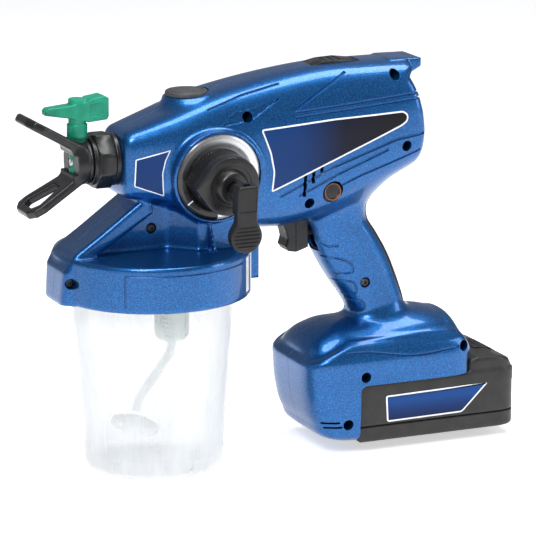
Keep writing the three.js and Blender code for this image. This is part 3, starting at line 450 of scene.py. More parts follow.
def body_field(x, y, z, inset=0.0):
    half, low, high, power = [curve(x) for curve in BODY_CURVES]
    tube = oval(y, z, (-half + inset, half - inset), (low + inset, high - inset), power)
    return trimmed(tube, polygon(x, z, TAIL) + inset, 6.0 if inset == 0 else 0.5)


def handle_field(x, y, z, inset=0.0):
    front, rear, half = [curve(z) for curve in HANDLE_CURVES]
    tube = oval(x, y, (front + inset, rear - inset), (-half + inset, half - inset), 2.7)
    return np.maximum(tube, np.abs(z - 136.5) - 58.5)


def base_field(x, y, z, inset=0.0):
    front, half = [curve(z) for curve in BASE_CURVES]
    foot = oval(x, y, (front + inset, BASE_REAR - inset), (-half + inset, half - inset), 6)
    foot = trimmed(foot, BASE_STATIONS[0][0] - z + inset, 5.0)
    foot = trimmed(foot, polygon(x, z, BASE_SIDE) + inset, 3.5)
    half, top = [curve(x) for curve in DECK_CURVES]
    deck = oval(y, z, (-half + inset, half - inset), (2 * DECK_MIDDLE - top + inset, top - inset), 2.2)
    centre = (DECK_STATIONS[0][0] + DECK_STATIONS[-1][0]) / 2
    deck = trimmed(deck, np.abs(x - centre) - DECK_STATIONS[-1][0] + centre + inset, 6.0)
    return blended(foot, deck, 3.0)


def front_field(x, y, z):
    """The strut, its web, the neck and its gussets, the collar and the lug behind it."""
    plan = polygon(x, y, STRUT_PLAN)
    strut = trimmed(trimmed(polygon(x, z, STRUT), np.abs(y) - 20, 3.0), plan, 3.0)
    web = np.maximum(polygon(x, z, WEB), np.abs(y) - 9.5)
    neck = trimmed(polygon(x, y, NECK_PLAN), np.abs(z - 171) - 21, 1.0)
    gusset = np.maximum(polygon(np.abs(y), z, GUSSET), np.abs(x - 31.3) - 1.3)
    around = np.hypot(x, y)
    collar = trimmed(around - COLLAR_RADIUS, np.abs(z - (COLLAR_TOP + COLLAR_BOTTOM) / 2)
                     - (COLLAR_TOP - COLLAR_BOTTOM) / 2, 2.4)
    lug = trimmed(polygon(x, z, [(58, COLLAR_BOTTOM + 3), (76, COLLAR_BOTTOM + 3), (76, COLLAR_TOP - 4),
                                 (58, COLLAR_TOP - 4)]), np.abs(y) - 9, 4.0)
    return blended(blended(blended(strut, web, 2.0), blended(neck, gusset, 1.0), 2.0),
                   blended(collar, lug, 1.5), 2.5)


def cap_boss_field(x, y, z):
    around = np.hypot(x - (CAP_LOW[0] + CAP_HIGH[0]) / 2, y)
    seat = CAP_HIGH[2] - 3.5
    cone = (around - (16.2 + (seat - z) * 0.25)) * 0.97
    return trimmed(cone, np.maximum(z - seat, 236 - z), 1.0)


def shell_field(x, y, z):
    """The outside that both halves of the housing share."""
    upper = blended(blended(body_field(x, y, z), cap_boss_field(x, y, z), 5.0), front_field(x, y, z), 3.0)
    lip = trimmed(polygon(x, z, LIP), np.abs(y) - 14, 1.5)
    upper = blended(upper, lip, 1.5)
    lower = blended(handle_field(x, y, z), base_field(x, y, z), 9.0)
    return blended(upper, lower, 8.0)


def dial_coordinates(x, y, z):
    """Distance from the dial's axis, and distance along it from the dial's centre."""
    along = (y - DIAL[1]) * DIAL_AXIS[1] + (z - DIAL[2]) * DIAL_AXIS[2]
    off_y = y - DIAL[1] - along * DIAL_AXIS[1]
    off_z = z - DIAL[2] - along * DIAL_AXIS[2]
    return np.sqrt((x - DIAL[0]) ** 2 + off_y ** 2 + off_z ** 2), along


def left_field(x, y, z):
    around, along = dial_coordinates(x, y, z)
    boss = trimmed(around - DIAL_RADIUS - 2.2, np.maximum(along - 1.2, -26 - along), 1.6)
    return blended(shell_field(x, y, z), boss, 3.0)


BAY_FRONT = CASE_LOW[0] - 0.6
BAY_TOP = 49.4


def bay_field(x, y, z, grow):
    """The recess that takes the battery, with its rails, grown by a wall."""
    floor = np.maximum(BAY_FRONT - grow - x, z - BAY_TOP - grow)
    rails = np.maximum(np.maximum(BAY_FRONT + 20 - grow - x, np.abs(y) - 25.5 - grow), z - 57.5 - grow)
    return np.minimum(floor, rails)


def cavity_field(x, y, z):
    """The hollow inside, less the posts that carry the screws."""
    upper = np.minimum(body_field(x, y, z, WALL), handle_field(x, y, z, WALL))
    room = np.maximum(base_field(x, y, z, WALL), -bay_field(x, y, z, WALL))
    column = np.maximum(np.hypot(x - 33, y) - 19, np.abs(z - 172) - 16)
    hollow = np.minimum(np.minimum(upper, room), column)
    for name in SCREW_NAMES:
        low, high = box(name)
        hollow = np.maximum(hollow, 4.6 - np.hypot(x - (low[0] + high[0]) / 2, z - (low[2] + high[2]) / 2))
    return hollow




# ---------------------------------------------------------------- materials

def nodes_of(material):
    return material.node_tree.nodes, material.node_tree.links


def surface(name, color, roughness, metallic=0.0, **settings):
    """A material with one principled shader, and a texture coordinate node named place for object
    coordinates.
    """
    material = bpy.data.materials.new(name)
    material.use_nodes = True
    nodes, _ = nodes_of(material)
    shader = nodes["Principled BSDF"]
    shader.inputs["Base Color"].default_value = (*color, 1)
    shader.inputs["Roughness"].default_value = roughness
    shader.inputs["Metallic"].default_value = metallic
    for label, value in settings.items():
        shader.inputs[label.replace("_", " ")].default_value = value
    nodes.new("ShaderNodeTexCoord").name = "place"
    return material


def noise(material, size, detail=3.0, stretch=(1, 1, 1)):
    """A noise value whose features are about `size` millimetres across."""
    nodes, links = nodes_of(material)
    mapping = nodes.new("ShaderNodeMapping")
    mapping.inputs["Scale"].default_value = stretch
    links.new(nodes["place"].outputs["Object"], mapping.inputs["Vector"])
    texture = nodes.new("ShaderNodeTexNoise")
    texture.inputs["Scale"].default_value = 1 / (size * MM)
    texture.inputs["Detail"].default_value = detail
    links.new(mapping.outputs["Vector"], texture.inputs["Vector"])
    return texture.outputs["Fac"]


def remap(material, value, low, high, near=0.3, far=0.7):
    nodes, links = nodes_of(material)
    range_node = nodes.new("ShaderNodeMapRange")
    links.new(value, range_node.inputs["Value"])
    for label, number in (("From Min", near), ("From Max", far), ("To Min", low), ("To Max", high)):
        range_node.inputs[label].default_value = number
    return range_node.outputs["Result"]


def ramp(material, value, stops):
    """Colours along a value, from (position, colour) pairs."""
    nodes, links = nodes_of(material)
    colors = nodes.new("ShaderNodeValToRGB")
    links.new(value, colors.inputs["Fac"])
    elements = colors.color_ramp.elements
    while len(elements) < len(stops):
        elements.new(0.5)
    for element, (position, color) in zip(elements, stops):
        element.position = position
        element.color = (*color, 1)
    return colors.outputs["Color"]


def bump(material, value, height, round_edges=0.0):
    """Bump of `height` millimetres, over edges rounded by a radius in millimetres."""
    nodes, links = nodes_of(material)
    bumps = nodes.new("ShaderNodeBump")
    bumps.inputs["Distance"].default_value = height * MM
    links.new(value, bumps.inputs["Height"])
    if round_edges:
        edge = nodes.new("ShaderNodeBevel")
        edge.samples = 6
        edge.inputs["Radius"].default_value = round_edges * MM
        links.new(edge.outputs["Normal"], bumps.inputs["Normal"])
    links.new(bumps.outputs["Normal"], nodes["Principled BSDF"].inputs["Normal"])


def drive(material, socket, value):
    nodes, links = nodes_of(material)
    links.new(value, nodes["Principled BSDF"].inputs[socket])


def shades(color, low, high):
    return [(0.0, tuple(low * c for c in color)), (1.0, tuple(high * c for c in color))]


def moulded(name, color, roughness, grain=0.5, mottle=(0.8, 1.25), edges=0.4, **settings):
    """Moulded plastic or rubber: fine grain, faint mottling and a sheen that wanders."""
    material = surface(name, color, roughness, **settings)
    cloud = noise(material, 9, 4)
    drive(material, "Base Color", ramp(material, remap(material, cloud, 0, 1), shades(color, *mottle)))
    drive(material, "Roughness", remap(material, noise(material, 4), roughness * 0.85, roughness * 1.15))
    bump(material, noise(material, grain, 2), 0.06, edges)
    return material


def metal(name, color, roughness, stretch=(1, 12, 12), edges=0.25):
    """Machined metal: fine lines along one axis and faint stains."""
    material = surface(name, color, roughness, 1.0)
    lines = noise(material, 1.5, 4, stretch)
    drive(material, "Base Color", ramp(material, remap(material, noise(material, 7), 0, 1),
                                       shades(color, 0.8, 1.1)))
    drive(material, "Roughness", remap(material, lines, roughness * 0.7, roughness * 1.3))
    bump(material, lines, 0.02, edges)
    return material


def flake_paint():
    """Deep blue metallic paint: bright flakes in a dark ground under clear lacquer."""
    deep = (0.004, 0.065, 0.22)
    material = surface("metallic_blue", deep, 0.34, 0.85, Coat_Weight=0.5, Coat_Roughness=0.06)
    nodes, links = nodes_of(material)
    flakes = nodes.new("ShaderNodeTexVoronoi")
    flakes.inputs["Scale"].default_value = 1 / (0.4 * MM)
    links.new(nodes["place"].outputs["Object"], flakes.inputs["Vector"])
    split = nodes.new("ShaderNodeSeparateColor")
    links.new(flakes.outputs["Color"], split.inputs["Color"])
    drive(material, "Base Color", ramp(material, split.outputs["Red"], [
        (0.0, (0.003, 0.052, 0.185)), (0.6, (0.004, 0.080, 0.27)), (0.9, (0.007, 0.125, 0.38)),
        (1.0, (0.015, 0.19, 0.5))]))
    drive(material, "Roughness", remap(material, split.outputs["Green"], 0.3, 0.4, 0, 1))
    bump(material, noise(material, 2.2, 2), 0.015, 0.7)
    return material


def clear_plastic(name, tint, roughness, see_through, at_edge=0.85):
    """Frosted clear plastic: thin, faintly cloudy, and denser where the wall turns away."""
    material = surface(name, tint, roughness, IOR=1.3, Specular_IOR_Level=0.4)
    nodes, links = nodes_of(material)
    weight = nodes.new("ShaderNodeLayerWeight")
    weight.inputs["Blend"].default_value = 0.28
    edge = remap(material, weight.outputs["Facing"], see_through, at_edge, 0.15, 1)
    cloud = remap(material, noise(material, 14, 3, (1, 1, 0.25)), -0.05, 0.08)
    total = nodes.new("ShaderNodeMath")
    total.operation = "ADD"
    links.new(edge, total.inputs[0])
    links.new(cloud, total.inputs[1])
    drive(material, "Alpha", total.outputs["Value"])
    drive(material, "Roughness", remap(material, noise(material, 5), roughness * 0.8, roughness * 1.3))
    bump(material, noise(material, 6, 2, (1, 1, 0.3)), 0.05)
    return material


def gradient(name, axis, low, high, stops, roughness=0.3):
    """A printed label whose colour changes along an axis between two coordinates."""
    material = surface(name, stops[0][1], roughness, Specular_IOR_Level=0.15)
    nodes, links = nodes_of(material)
    split = nodes.new("ShaderNodeSeparateXYZ")
    links.new(nodes["place"].outputs["Object"], split.inputs["Vector"])
    along = remap(material, split.outputs[axis], 0, 1, low * MM, high * MM)
    speckle = remap(material, noise(material, 0.6, 2), -0.04, 0.04)
    total = nodes.new("ShaderNodeMath")
    total.operation = "ADD"
    links.new(along, total.inputs[0])
    links.new(speckle, total.inputs[1])
    drive(material, "Base Color", ramp(material, total.outputs["Value"], stops))
    bump(material, noise(material, 3, 2), 0.02, 0.3)
    return material


def dial_print():
    """The dial's band, which runs round from black at low pressure to silver at high."""
    material = surface("dial_print", (0.4, 0.4, 0.4), 0.34, 0.55, Coat_Weight=0.4)
    nodes, links = nodes_of(material)
    shift = nodes.new("ShaderNodeVectorMath")
    shift.operation = "SUBTRACT"
    shift.inputs[1].default_value = tuple(DIAL * MM)
    links.new(nodes["place"].outputs["Object"], shift.inputs[0])
    split = nodes.new("ShaderNodeSeparateXYZ")
    links.new(shift.outputs["Vector"], split.inputs["Vector"])
    angle = nodes.new("ShaderNodeMath")
    angle.operation = "ARCTAN2"
    links.new(split.outputs["X"], angle.inputs[0])
    links.new(split.outputs["Z"], angle.inputs[1])
    drive(material, "Base Color", ramp(material, remap(material, angle.outputs["Value"], 0, 1, -2.6, 2.6), [
        (0.0, (0.012, 0.012, 0.013)), (0.22, (0.03, 0.03, 0.032)), (0.42, (0.2, 0.2, 0.21)),
        (0.6, (0.62, 0.63, 0.65)), (1.0, (0.72, 0.73, 0.75))]))
    drive(material, "Roughness", remap(material, noise(material, 3), 0.25, 0.4))
    bump(material, noise(material, 0.5, 2), 0.02, 0.3)
    return material


BLUE_PAINT = flake_paint()
BLACK = moulded("black_plastic", (0.010, 0.010, 0.011), 0.42, Specular_IOR_Level=0.3)
GLOSS_BLACK = moulded("satin_black", (0.009, 0.009, 0.010), 0.32, grain=0.8, Specular_IOR_Level=0.4)
KNOB_BLACK = moulded("knob_black", (0.010, 0.010, 0.011), 0.4, grain=0.7, Specular_IOR_Level=0.3)
RUBBER = moulded("soft_rubber", (0.012, 0.012, 0.013), 0.62, grain=0.7, mottle=(0.7, 1.4),
                 Specular_IOR_Level=0.3)
CAP_RUBBER = moulded("cap_rubber", (0.035, 0.036, 0.039), 0.6, grain=0.8, mottle=(0.75, 1.35))
CHARCOAL = moulded("charcoal_plastic", (0.016, 0.018, 0.02), 0.45, Specular_IOR_Level=0.3)
GREEN = moulded("green_plastic", (0.003, 0.21, 0.125), 0.38, grain=0.9, Specular_IOR_Level=0.35)
PALE_GREEN = moulded("pale_green_plastic", (0.33, 0.46, 0.38), 0.5)
WHITE = moulded("white_plastic", (0.78, 0.79, 0.79), 0.45, mottle=(0.94, 1.04))
SILVER_INK = moulded("silver_edge", (0.72, 0.74, 0.77), 0.32, mottle=(0.9, 1.1), edges=0.1)
PACK_BLACK = moulded("pack_black", (0.020, 0.019, 0.019), 0.42, grain=0.6, Specular_IOR_Level=0.3)
ORANGE = moulded("orange_ring", (0.4, 0.09, 0.015), 0.45, edges=0.1)
CELL_WRAP = moulded("cell_wrap", (0.05, 0.24, 0.2), 0.35)
CIRCUIT = moulded("circuit_board", (0.01, 0.12, 0.05), 0.5, grain=1.5, mottle=(0.6, 1.6))
LEAD = moulded("lead_red", (0.42, 0.02, 0.015), 0.45)
STEEL = metal("machined_steel", (0.5, 0.51, 0.53), 0.3)
DARK_STEEL = metal("black_zinc", (0.07, 0.07, 0.075), 0.42)
ALLOY = metal("cast_alloy", (0.55, 0.56, 0.57), 0.45, (1, 1, 1))
BRASS = metal("brass", (0.62, 0.45, 0.18), 0.3)
CLEAR = clear_plastic("cup_clear", (0.8, 0.82, 0.84), 0.2, 0.3)
TUBE_CLEAR = clear_plastic("tube_clear", (0.8, 0.83, 0.83), 0.25, 0.5)
DIAL_PRINT = dial_print()

SLOT_MATERIALS = {
    "housing_blue": BLUE_PAINT, "soft_rubber": RUBBER, "cap_rubber": CAP_RUBBER, "black_plastic": BLACK,
    "trigger_rubber": CHARCOAL, "dial_silver": DIAL_PRINT, "knob_black": KNOB_BLACK, "steel": STEEL,
    "cast_alloy": ALLOY, "brass": BRASS, "tip_green": GREEN, "cup_clear": CLEAR, "tube_clear": TUBE_CLEAR,
    "white_plastic": WHITE, "fitting_green": PALE_GREEN, "pack_black": PACK_BLACK, "cell_wrap": CELL_WRAP,
    "circuit_green": CIRCUIT, "lead_red": LEAD, "screw_steel": DARK_STEEL,
}


def finish(made, body, slot, material=None, replaces=()):
    """Gives a piece its material, which is its slot's unless one is given, and its body, and hides the CAD
    nodes it stands for.
    """
    made.data.materials.clear()
    made.data.materials.append(material or SLOT_MATERIALS[slot])
    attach(made, body)
    if replaces:
        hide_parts(*replaces)
    return made


def dress_cad_nodes():
    """Gives every CAD node the material of its slot; the inner pieces stay as they are."""
    for entry in frame["record"]["subparts"]:
        node = bpy.data.objects[entry["node"]]
        node.data.materials.clear()
        node.data.materials.append(SLOT_MATERIALS[entry["material_slot"]])


dress_cad_nodes()


# ---------------------------------------------------------------- building the housing

SKIN_STEP = 1.5
LEFT_LOW, LEFT_HIGH = (-78, -72, -2), (233, 3, 277)

SCREW_SEATS = {name: (box(name)[0] + box(name)[1]) / 2 for name in SCREW_NAMES}
SCREW_HEAD = 3.2
SCREW_DEPTHS = {name: -box(name)[0][1] - 3 for name in SCREW_SEATS}


def left_surface(x, z):
    """The y at which the left side's skin is met when looking along +Y."""
    x, z = np.array(x, dtype=float), np.array(z, dtype=float)
    depths = np.linspace(-70, -4, 133)
    values = left_field(x[:, None], depths[None, :], z[:, None])
    first = np.argmax(values < 0, axis=1)
    rows = np.arange(len(x))
    outer, inner = values[rows, first - 1], values[rows, first]
    return depths[first - 1] + (depths[1] - depths[0]) * outer / (outer - inner)


def groove(points, radius=1.1, sink=0.1):
    """A round-bottomed channel cut along (x, z) points on the left side."""
    outline = np.array(points, dtype=float)
    lengths = np.hypot(*np.diff(outline, axis=0).T)
    at = np.concatenate([[0], np.cumsum(lengths)])
    even = np.linspace(0, at[-1], max(4, int(at[-1] / 1.6)))
    x, z = np.interp(even, at, outline[:, 0]), np.interp(even, at, outline[:, 1])
    return swept("groove", np.stack([x, left_surface(x, z) + sink, z], 1), radius, 8)


def curved(points, radius=4.0):
    """An outline with its corners rounded, as a list of points."""
    return [tuple(point) for point in softened(points, radius, 4)]


def open_curve(points, radius=5.0):
    """An open path with its inner corners rounded."""
    inner = softened(points, radius, 4)
    return [points[0]] + [tuple(point) for point in inner[5:-5]] + [points[-1]]


SCREW_RECESS = curved([(37.5, 237.5), (60, 240.5), (84, 254.5), (62, 248.5), (47, 246.5)], 3)
UPPER_GROOVES = [
    open_curve([(133, 266.5), (112, 256.5), (88, 243.4), (120, 245.4), (187, 250.8)]),
    [(92, 240.2), (120, 242.2), (187, 247.0)],
    [(30, 248.5), (56, 256.5), (84, 262)],
]
LOWER_GROOVES = [
    [(80, 186.5), (120, 204.5), (166, 219.5), (188, 222.0)],
    [(94, 186.0), (124, 199.5), (160, 213.0)],
    [(113, 185.5), (140, 196.5), (186, 210.5)],
]
FINGER_PADS = [
    open_curve([(118.5, 147.5), (124, 143.6), (131, 144.2)], 2),
    open_curve([(121.5, 136.5), (134, 134.6), (141.5, 130.2), (143, 124.0), (131, 123.2)], 2.5),
    open_curve([(128.5, 118.4), (143.2, 117.6), (146.6, 108.8), (137, 107.2)], 2.5),
    open_curve([(137.5, 103.2), (150.6, 103.2), (152.4, 96.4), (146, 94.4)], 2.5),
]
BASE_GROOVE = open_curve([(127, 73.5), (144, 73.4), (178, 67.3), (213, 70)], 12)
COLLAR_PANEL_ANGLES = (-127, -47)
COLLAR_PANEL_HEIGHTS = (126.2, 147.6)


def screw_recess():
    """The hollow that runs up and back from the screw nearest the dial, 1.3 mm deep."""
    def field(x, y, z):
        return np.maximum(polygon(x, z, SCREW_RECESS), -left_field(x, y, z) - 1.3)
    return skin("screw_recess", field, (34, -50, 234), (88, -18, 258), 0.9)


def collar_groove():
    """The outline of the raised panel on the collar's left side."""
    start, end = COLLAR_PANEL_ANGLES
    low, high = COLLAR_PANEL_HEIGHTS
    turns = np.radians(np.linspace(start, end, 60))
    top = [(COLLAR_RADIUS * math.cos(a), COLLAR_RADIUS * math.sin(a), high) for a in turns]
    side = [(top[0][0], top[0][1], z) for z in np.linspace(low, high - 1, 8)]
    return swept("collar_groove", side + top, 0.7, 8)


def battery_bay():
    """Tools for the recess under the base: the floor, the rail slots and the open tail."""
    rail = 25.5
    floor = softened([(BAY_FRONT, -20), (300, -20), (300, BAY_TOP), (BAY_FRONT, BAY_TOP)], 5, 5)
    return [
        prism("y", floor, -60, 60),
        block((BAY_FRONT + 20, 300), (-22, 22), (BAY_TOP - 1, 54)),
        block((BAY_FRONT + 20, 300), (-rail, rail), (52.5, 57.5)),
        prism("y", [(221.6, 40), (222.8, 58.2), (227.8, 65), (240, 65), (240, 40)], -60, 60),
    ]


def screw_wells():
    wells = []
    for name, (x, _, z) in SCREW_SEATS.items():
        wells.append(rod("y", SCREW_HEAD + 0.5, -60, -SCREW_DEPTHS[name], (x, z), 28))
        wells.append(rod("y", 1.8, -SCREW_DEPTHS[name] - 1, 2, (x, z), 12))
    return wells


def grip_outline(grow):
    """The side view of the soft strip let into the back of the handle."""
    rear = [(row[2], row[0]) for row in HANDLE_STATIONS if 96 < row[0] < 184]
    line = [(183.6, 97 - grow), *rear, (166.5, 184 + grow)]
    inner = [(x - 3.4 - grow, z) for x, z in line]
    outer = [(x + 6, z) for x, z in reversed(line)]
    return inner + outer


def side_slot(x, z):
    """A thin slot through the side wall, between two x and two z."""
    return block(x, (-60, 4), z)


def shared_tools():
    """What is cut out of both halves, drawn for the left one."""
    cap_x = (CAP_LOW[0] + CAP_HIGH[0]) / 2
    cap_radius = (CAP_HIGH[0] - CAP_LOW[0]) / 2
    insert_low, insert_high = box("top_insert")
    lock = (LOCK_LOW + LOCK_HIGH) / 2
    trigger_half = box("trigger")[1][1] + 0.5
    return [
        *battery_bay(),
        turned("collar_room", "z", [(0, 90), (COLLAR_RADIUS - 2.9, 90), (COLLAR_RADIUS - 2.9, COLLAR_TOP - 3),
                                    (0, COLLAR_TOP - 3)]),
        rod("z", 9.5, 140, 200, (INLET_X, 0)),
        rod("x", 9.3, -60, 10, (0, SPRAY_Z)),
        rod("z", cap_radius + 0.4, CAP_HIGH[2] - 3.5, 266, (cap_x, 0), 64),
        rod("y", (LOCK_HIGH[0] - LOCK_LOW[0]) / 2 + 0.5, -60, 4, (lock[0], lock[2]), 40),
        prism("y", softened([(80, 139.5), (121.4, 139.5), (121.4, 171), (80, 171)], 2), -trigger_half, 4),
        block((insert_low[0] - 0.3, insert_high[0] + 0.3), (-9.3, 4), (266.8, 280)),
        prism("y", grip_outline(0.3), -11.8, 4),
        *[side_slot((x - 1.2, x + 1.2), z) for x, z in
          ((98, (185, 204)), (104, (194, 206.5)), (110, (201, 209.5)))],
        *[side_slot((x, x + 12), (z, z + 1.4)) for x, z in ((110, 24), (112, 20.5))],
        *screw_wells(),
        *[groove(path) for path in [*UPPER_GROOVES, *LOWER_GROOVES, BASE_GROOVE]],
        screw_recess(),
        *[groove(path, 0.8) for path in FINGER_PADS],
        collar_groove(),
    ]


def dial_frame():
    """Turns points given round the dial (x, -y outwards, z) into the model's frame."""
    lean = math.asin(-DIAL_AXIS[2])
    return Matrix.Translation(Vector(DIAL) * MM) @ Matrix.Rotation(lean, 4, "X")


def on_dial(made):
    made.data.transform(dial_frame())
    return made


def at_window(made):
    """Turns something built on the +X side of the collar round to its window."""
    made.data.transform(Matrix.Rotation(math.radians(-38), 4, "Z"))
    return made


def left_tools():
    width, depth = 9.4, 6
    window = at_window(block((COLLAR_RADIUS - depth, COLLAR_RADIUS + 4), (-width / 2, width / 2),
                             (124.6, 149.9)))
    return [
        on_dial(rod("y", DIAL_RADIUS + 0.3, -10, 1.6, (0, 0), 96)),
        on_dial(rod("y", 9.4, -10, 24, (0, 0), 40)),
        window,
    ]


def housing_half(name, field, tools):
    """One half, drawn on the left: its skin, hollowed, then cut by its tools."""
    half = skin(name, field, LEFT_LOW, LEFT_HIGH, SKIN_STEP)
    hollow = skin("hollow", cavity_field, LEFT_LOW, LEFT_HIGH, 3.0)
    carve(half, [hollow, *tools])
    keep = block((-100, 300), (-100, -SEAM), (-50, 300))
    return carve(half, [keep], "INTERSECT", 40)


def mirrored(made):
    made.data.transform(Matrix.Scale(-1, 4, (0, 1, 0)))
    made.data.flip_normals()
    return made


def build_housing():
    left = housing_half("left_shell", left_field, shared_tools() + left_tools())
    finish(left, "gun", "housing_blue", replaces=["left_housing"])
    right = mirrored(housing_half("right_shell", shell_field, shared_tools()))
    finish(right, "gun", "housing_blue", replaces=["right_housing"])


build_housing()


# ---------------------------------------------------------------- labels and trim on the housing

def offset_outline(outline, distance):
    """A closed outline drawn in by a distance."""
    points = np.array(outline, dtype=float)
    before, after = np.roll(points, 1, 0), np.roll(points, -1, 0)
    into, out = points - before, after - points
    into /= np.linalg.norm(into, axis=1)[:, None]
    out /= np.linalg.norm(out, axis=1)[:, None]
    area = np.sum(points[:, 0] * after[:, 1] - after[:, 0] * points[:, 1])
    inward = np.stack([-(into + out)[:, 1], (into + out)[:, 0]], 1) * np.sign(area)
    length = np.linalg.norm(inward, axis=1)[:, None]
    return points + inward / length * distance * 2 / length


def plate(name, field, outline, low, high, lift, sink=0.25):
    """A thin plate that follows the left side's skin within an outline of (x, z) points."""
    outline = np.array(outline)
    margin = 3.0
    corner = (outline[:, 0].min() - margin, low, outline[:, 1].min() - margin)
    opposite = (outline[:, 0].max() + margin, high, outline[:, 1].max() + margin)
    made = skin(name, field, corner, opposite, 1.5, lift)
    below = skin("below", field, corner, opposite, 1.5, -sink)
    carve(made, [below])
    return carve(made, [prism("y", outline, low - 5, high - 2)], "INTERSECT", 30)


MAIN_LABEL = softened([
    (65.6, 234.0), (120, 237.4), (171, 238.9), (174.6, 236.2), (174.4, 231.6), (170.4, 228.7), (122, 209.5),
    (73.0, 190.2), (74.4, 204.3), (71.8, 217.5),
], 2.2, 4)
NOSE_LABEL = softened([
    (-20.6, 218.6), (2.8, 224.2), (-0.6, 217.0), (-2.6, 208.5), (-2.2, 199.5), (-1.2, 192.4), (-21.6, 200.2),
], 0.8, 3)
LABEL_BLUE = [(0.0, (0.006, 0.035, 0.14)), (0.25, (0.006, 0.03, 0.12)), (0.55, (0.008, 0.009, 0.02)),
              (1.0, (0.006, 0.006, 0.006))]


def printed_plate(name, outline, border, lift, material, field=left_field, depth=(-45, -14), body="gun",
                  edge_material=None):
    """A label: a pale plate with a slightly smaller printed one standing just over it."""
    made = []
    for suffix, rim, height, finish_material in (
            ("edge", 0, lift, edge_material or SILVER_INK), ("print", border, lift + 0.06, material)):
        part = plate(f"{name}_{suffix}", field, offset_outline(outline, rim), *depth, height)
        made.append(finish(part, body, "dial_silver", finish_material))
    return made


def twin(made, name, body="gun"):
    """The same piece on the right side."""
    copy = bpy.data.objects.new(name, made.data.copy())
    bpy.context.scene.collection.objects.link(copy)
    mirrored(copy)
    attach(copy, body)
    return copy


def build_labels():
    main = gradient("label_print", "X", 66, 175, LABEL_BLUE)
    nose = gradient("nose_print", "X", -22, 3, [(0.0, (0.005, 0.028, 0.12)), (1.0, (0.006, 0.034, 0.14))])
    parts = printed_plate("main_label", MAIN_LABEL, 1.1, 0.2, main)
    parts += printed_plate("nose_label", NOSE_LABEL, 0.75, 0.2, nose)
    for part in parts:
        twin(part, f"right_{part.name}")


def handle_skin(x, y, z):
    """The handle where it flows into the motor housing, for the strip at its back."""
    return blended(body_field(x, y, z), handle_field(x, y, z), 8.0)


def build_grip():
    """The soft strip: it follows the handle."""
    low, high = box("rear_grip_pad")
    strip = skin("grip_strip", handle_skin, low - (4, 6, 6), high + (6, 6, 6), 1.2, 0.35)
    carve(strip, [prism("y", grip_outline(0), -11.5, 11.5)], "INTERSECT")
    finish(strip, "gun", "soft_rubber", replaces=["rear_grip_pad"])


def build_service_cap():
    """A domed rubber plug with a finger groove near its rim."""
    centre = (CAP_LOW + CAP_HIGH) / 2
    radius = (CAP_HIGH[0] - CAP_LOW[0]) / 2
    top = CAP_HIGH[2]
    profile = [
        (0, CAP_LOW[2]), (radius - 3.4, CAP_LOW[2]), (radius - 3.4, top - 3.2), (radius, top - 3.2),
        (radius, top - 1.2), (radius - 0.5, top - 0.4), (radius - 1.4, top), (radius - 2.6, top),
        (radius - 3.1, top - 0.5), (radius - 3.9, top - 0.5), (radius - 4.4, top), (radius - 8, top + 0.25),
        (0, top + 0.4),
    ]
    cap = turned("service_plug", "z", profile, (centre[0], 0), 96, 40)
    finish(cap, "service_cap", "cap_rubber", replaces=["service_cap"])


def build_top_insert():
    """The dark insert on the ridge: a sloped block with three finger ribs."""
    low, high = box("top_insert")
    outline = [(low[0], low[2]), (high[0], low[2]), (high[0], high[2] - 1.8), (high[0] - 13, high[2]),
               (low[0] + 10, high[2] - 0.5), (low[0], high[2] - 2.6)]
    ribs = [rod("y", 0.8, -7, 7, (x, high[2] - 0.4), 12) for x in (low[0] + 12, low[0] + 17, low[0] + 22)]
    insert = carve(prism("y", outline, low[1], high[1], "ridge_insert"), ribs)
    finish(rounded(insert, 0.5, 2), "gun", "black_plastic", GLOSS_BLACK, ["top_insert"])


# ---------------------------------------------------------------- trigger and lock

def trigger_field(x, y, z):
    low, high = box("trigger")
    face = [(low[0] + 0.6, 161.5), (low[0] + 3.4, 155), (low[0] + 4.6, 150), (low[0] + 3.0, 144.5),
            (low[0] + 5.4, 141.2), (low[0] + 11, 140.2), (112.6, 143), (112.6, high[2]),
            (low[0] + 4, high[2]), (low[0] + 0.6, 164)]
    blade = trimmed(polygon(x, z, face), np.abs(y) - high[1], 1.8)
    hollow = np.hypot(x - low[0] + 1, y / 1.6) - 3.4
    return trimmed(blade, -hollow, 1.2)


def build_trigger():
    low, high = box("trigger")
    made = skin("trigger_blade", trigger_field, low - 1.5, (114.5, high[1] + 1.5, high[2] + 1.5), 0.7)
    plunger = rod("x", 3, 110, high[0], (0, 153), 24)
    depth = 0.35
    lines = [block((102.6, 103.2), y, (120, 200)) for y in ((-20, -high[1] + depth), (high[1] - depth, 20))]
    carve(made, [plunger], "UNION")
    carve(made, lines)
    finish(made, "trigger", "trigger_rubber", replaces=["trigger"])


def build_lock():
    """The cross button: a domed end on each side, with a coloured ring round the left one."""
    centre = (LOCK_LOW + LOCK_HIGH) / 2
    radius, half = (LOCK_HIGH[0] - LOCK_LOW[0]) / 2, LOCK_HIGH[1]
    dish = [(0, half + 0.2), (radius - 2.6, half), (radius - 2.0, half + 0.5), (radius - 1.0, half + 0.4),
            (radius, half - 0.8), (radius, half - 9), (4, half - 9)]
    profile = [(r, -y) for r, y in dish] + [(r, y) for r, y in reversed(dish)]
    button = turned("lock_button", "y", profile, (centre[0], centre[2]), 56)
    finish(button, "trigger_lock", "black_plastic", GLOSS_BLACK, ["trigger_lock"])
    ring = turned("lock_ring", "y", softened([
        (radius - 1.7, -half - 0.2), (radius - 1.3, -half - 0.2), (radius - 1.3, -half - 0.6),
        (radius - 1.7, -half - 0.6)], 0.12), (centre[0], centre[2]), 56)
    finish(ring, "trigger_lock", "black_plastic", ORANGE)


# ---------------------------------------------------------------- dial, knob and prime lever

KNOB_RADIUS = 20.5
KNOB_POINTER = 25.3
KNOB_BACK, KNOB_FRONT = -0.9, -22.8


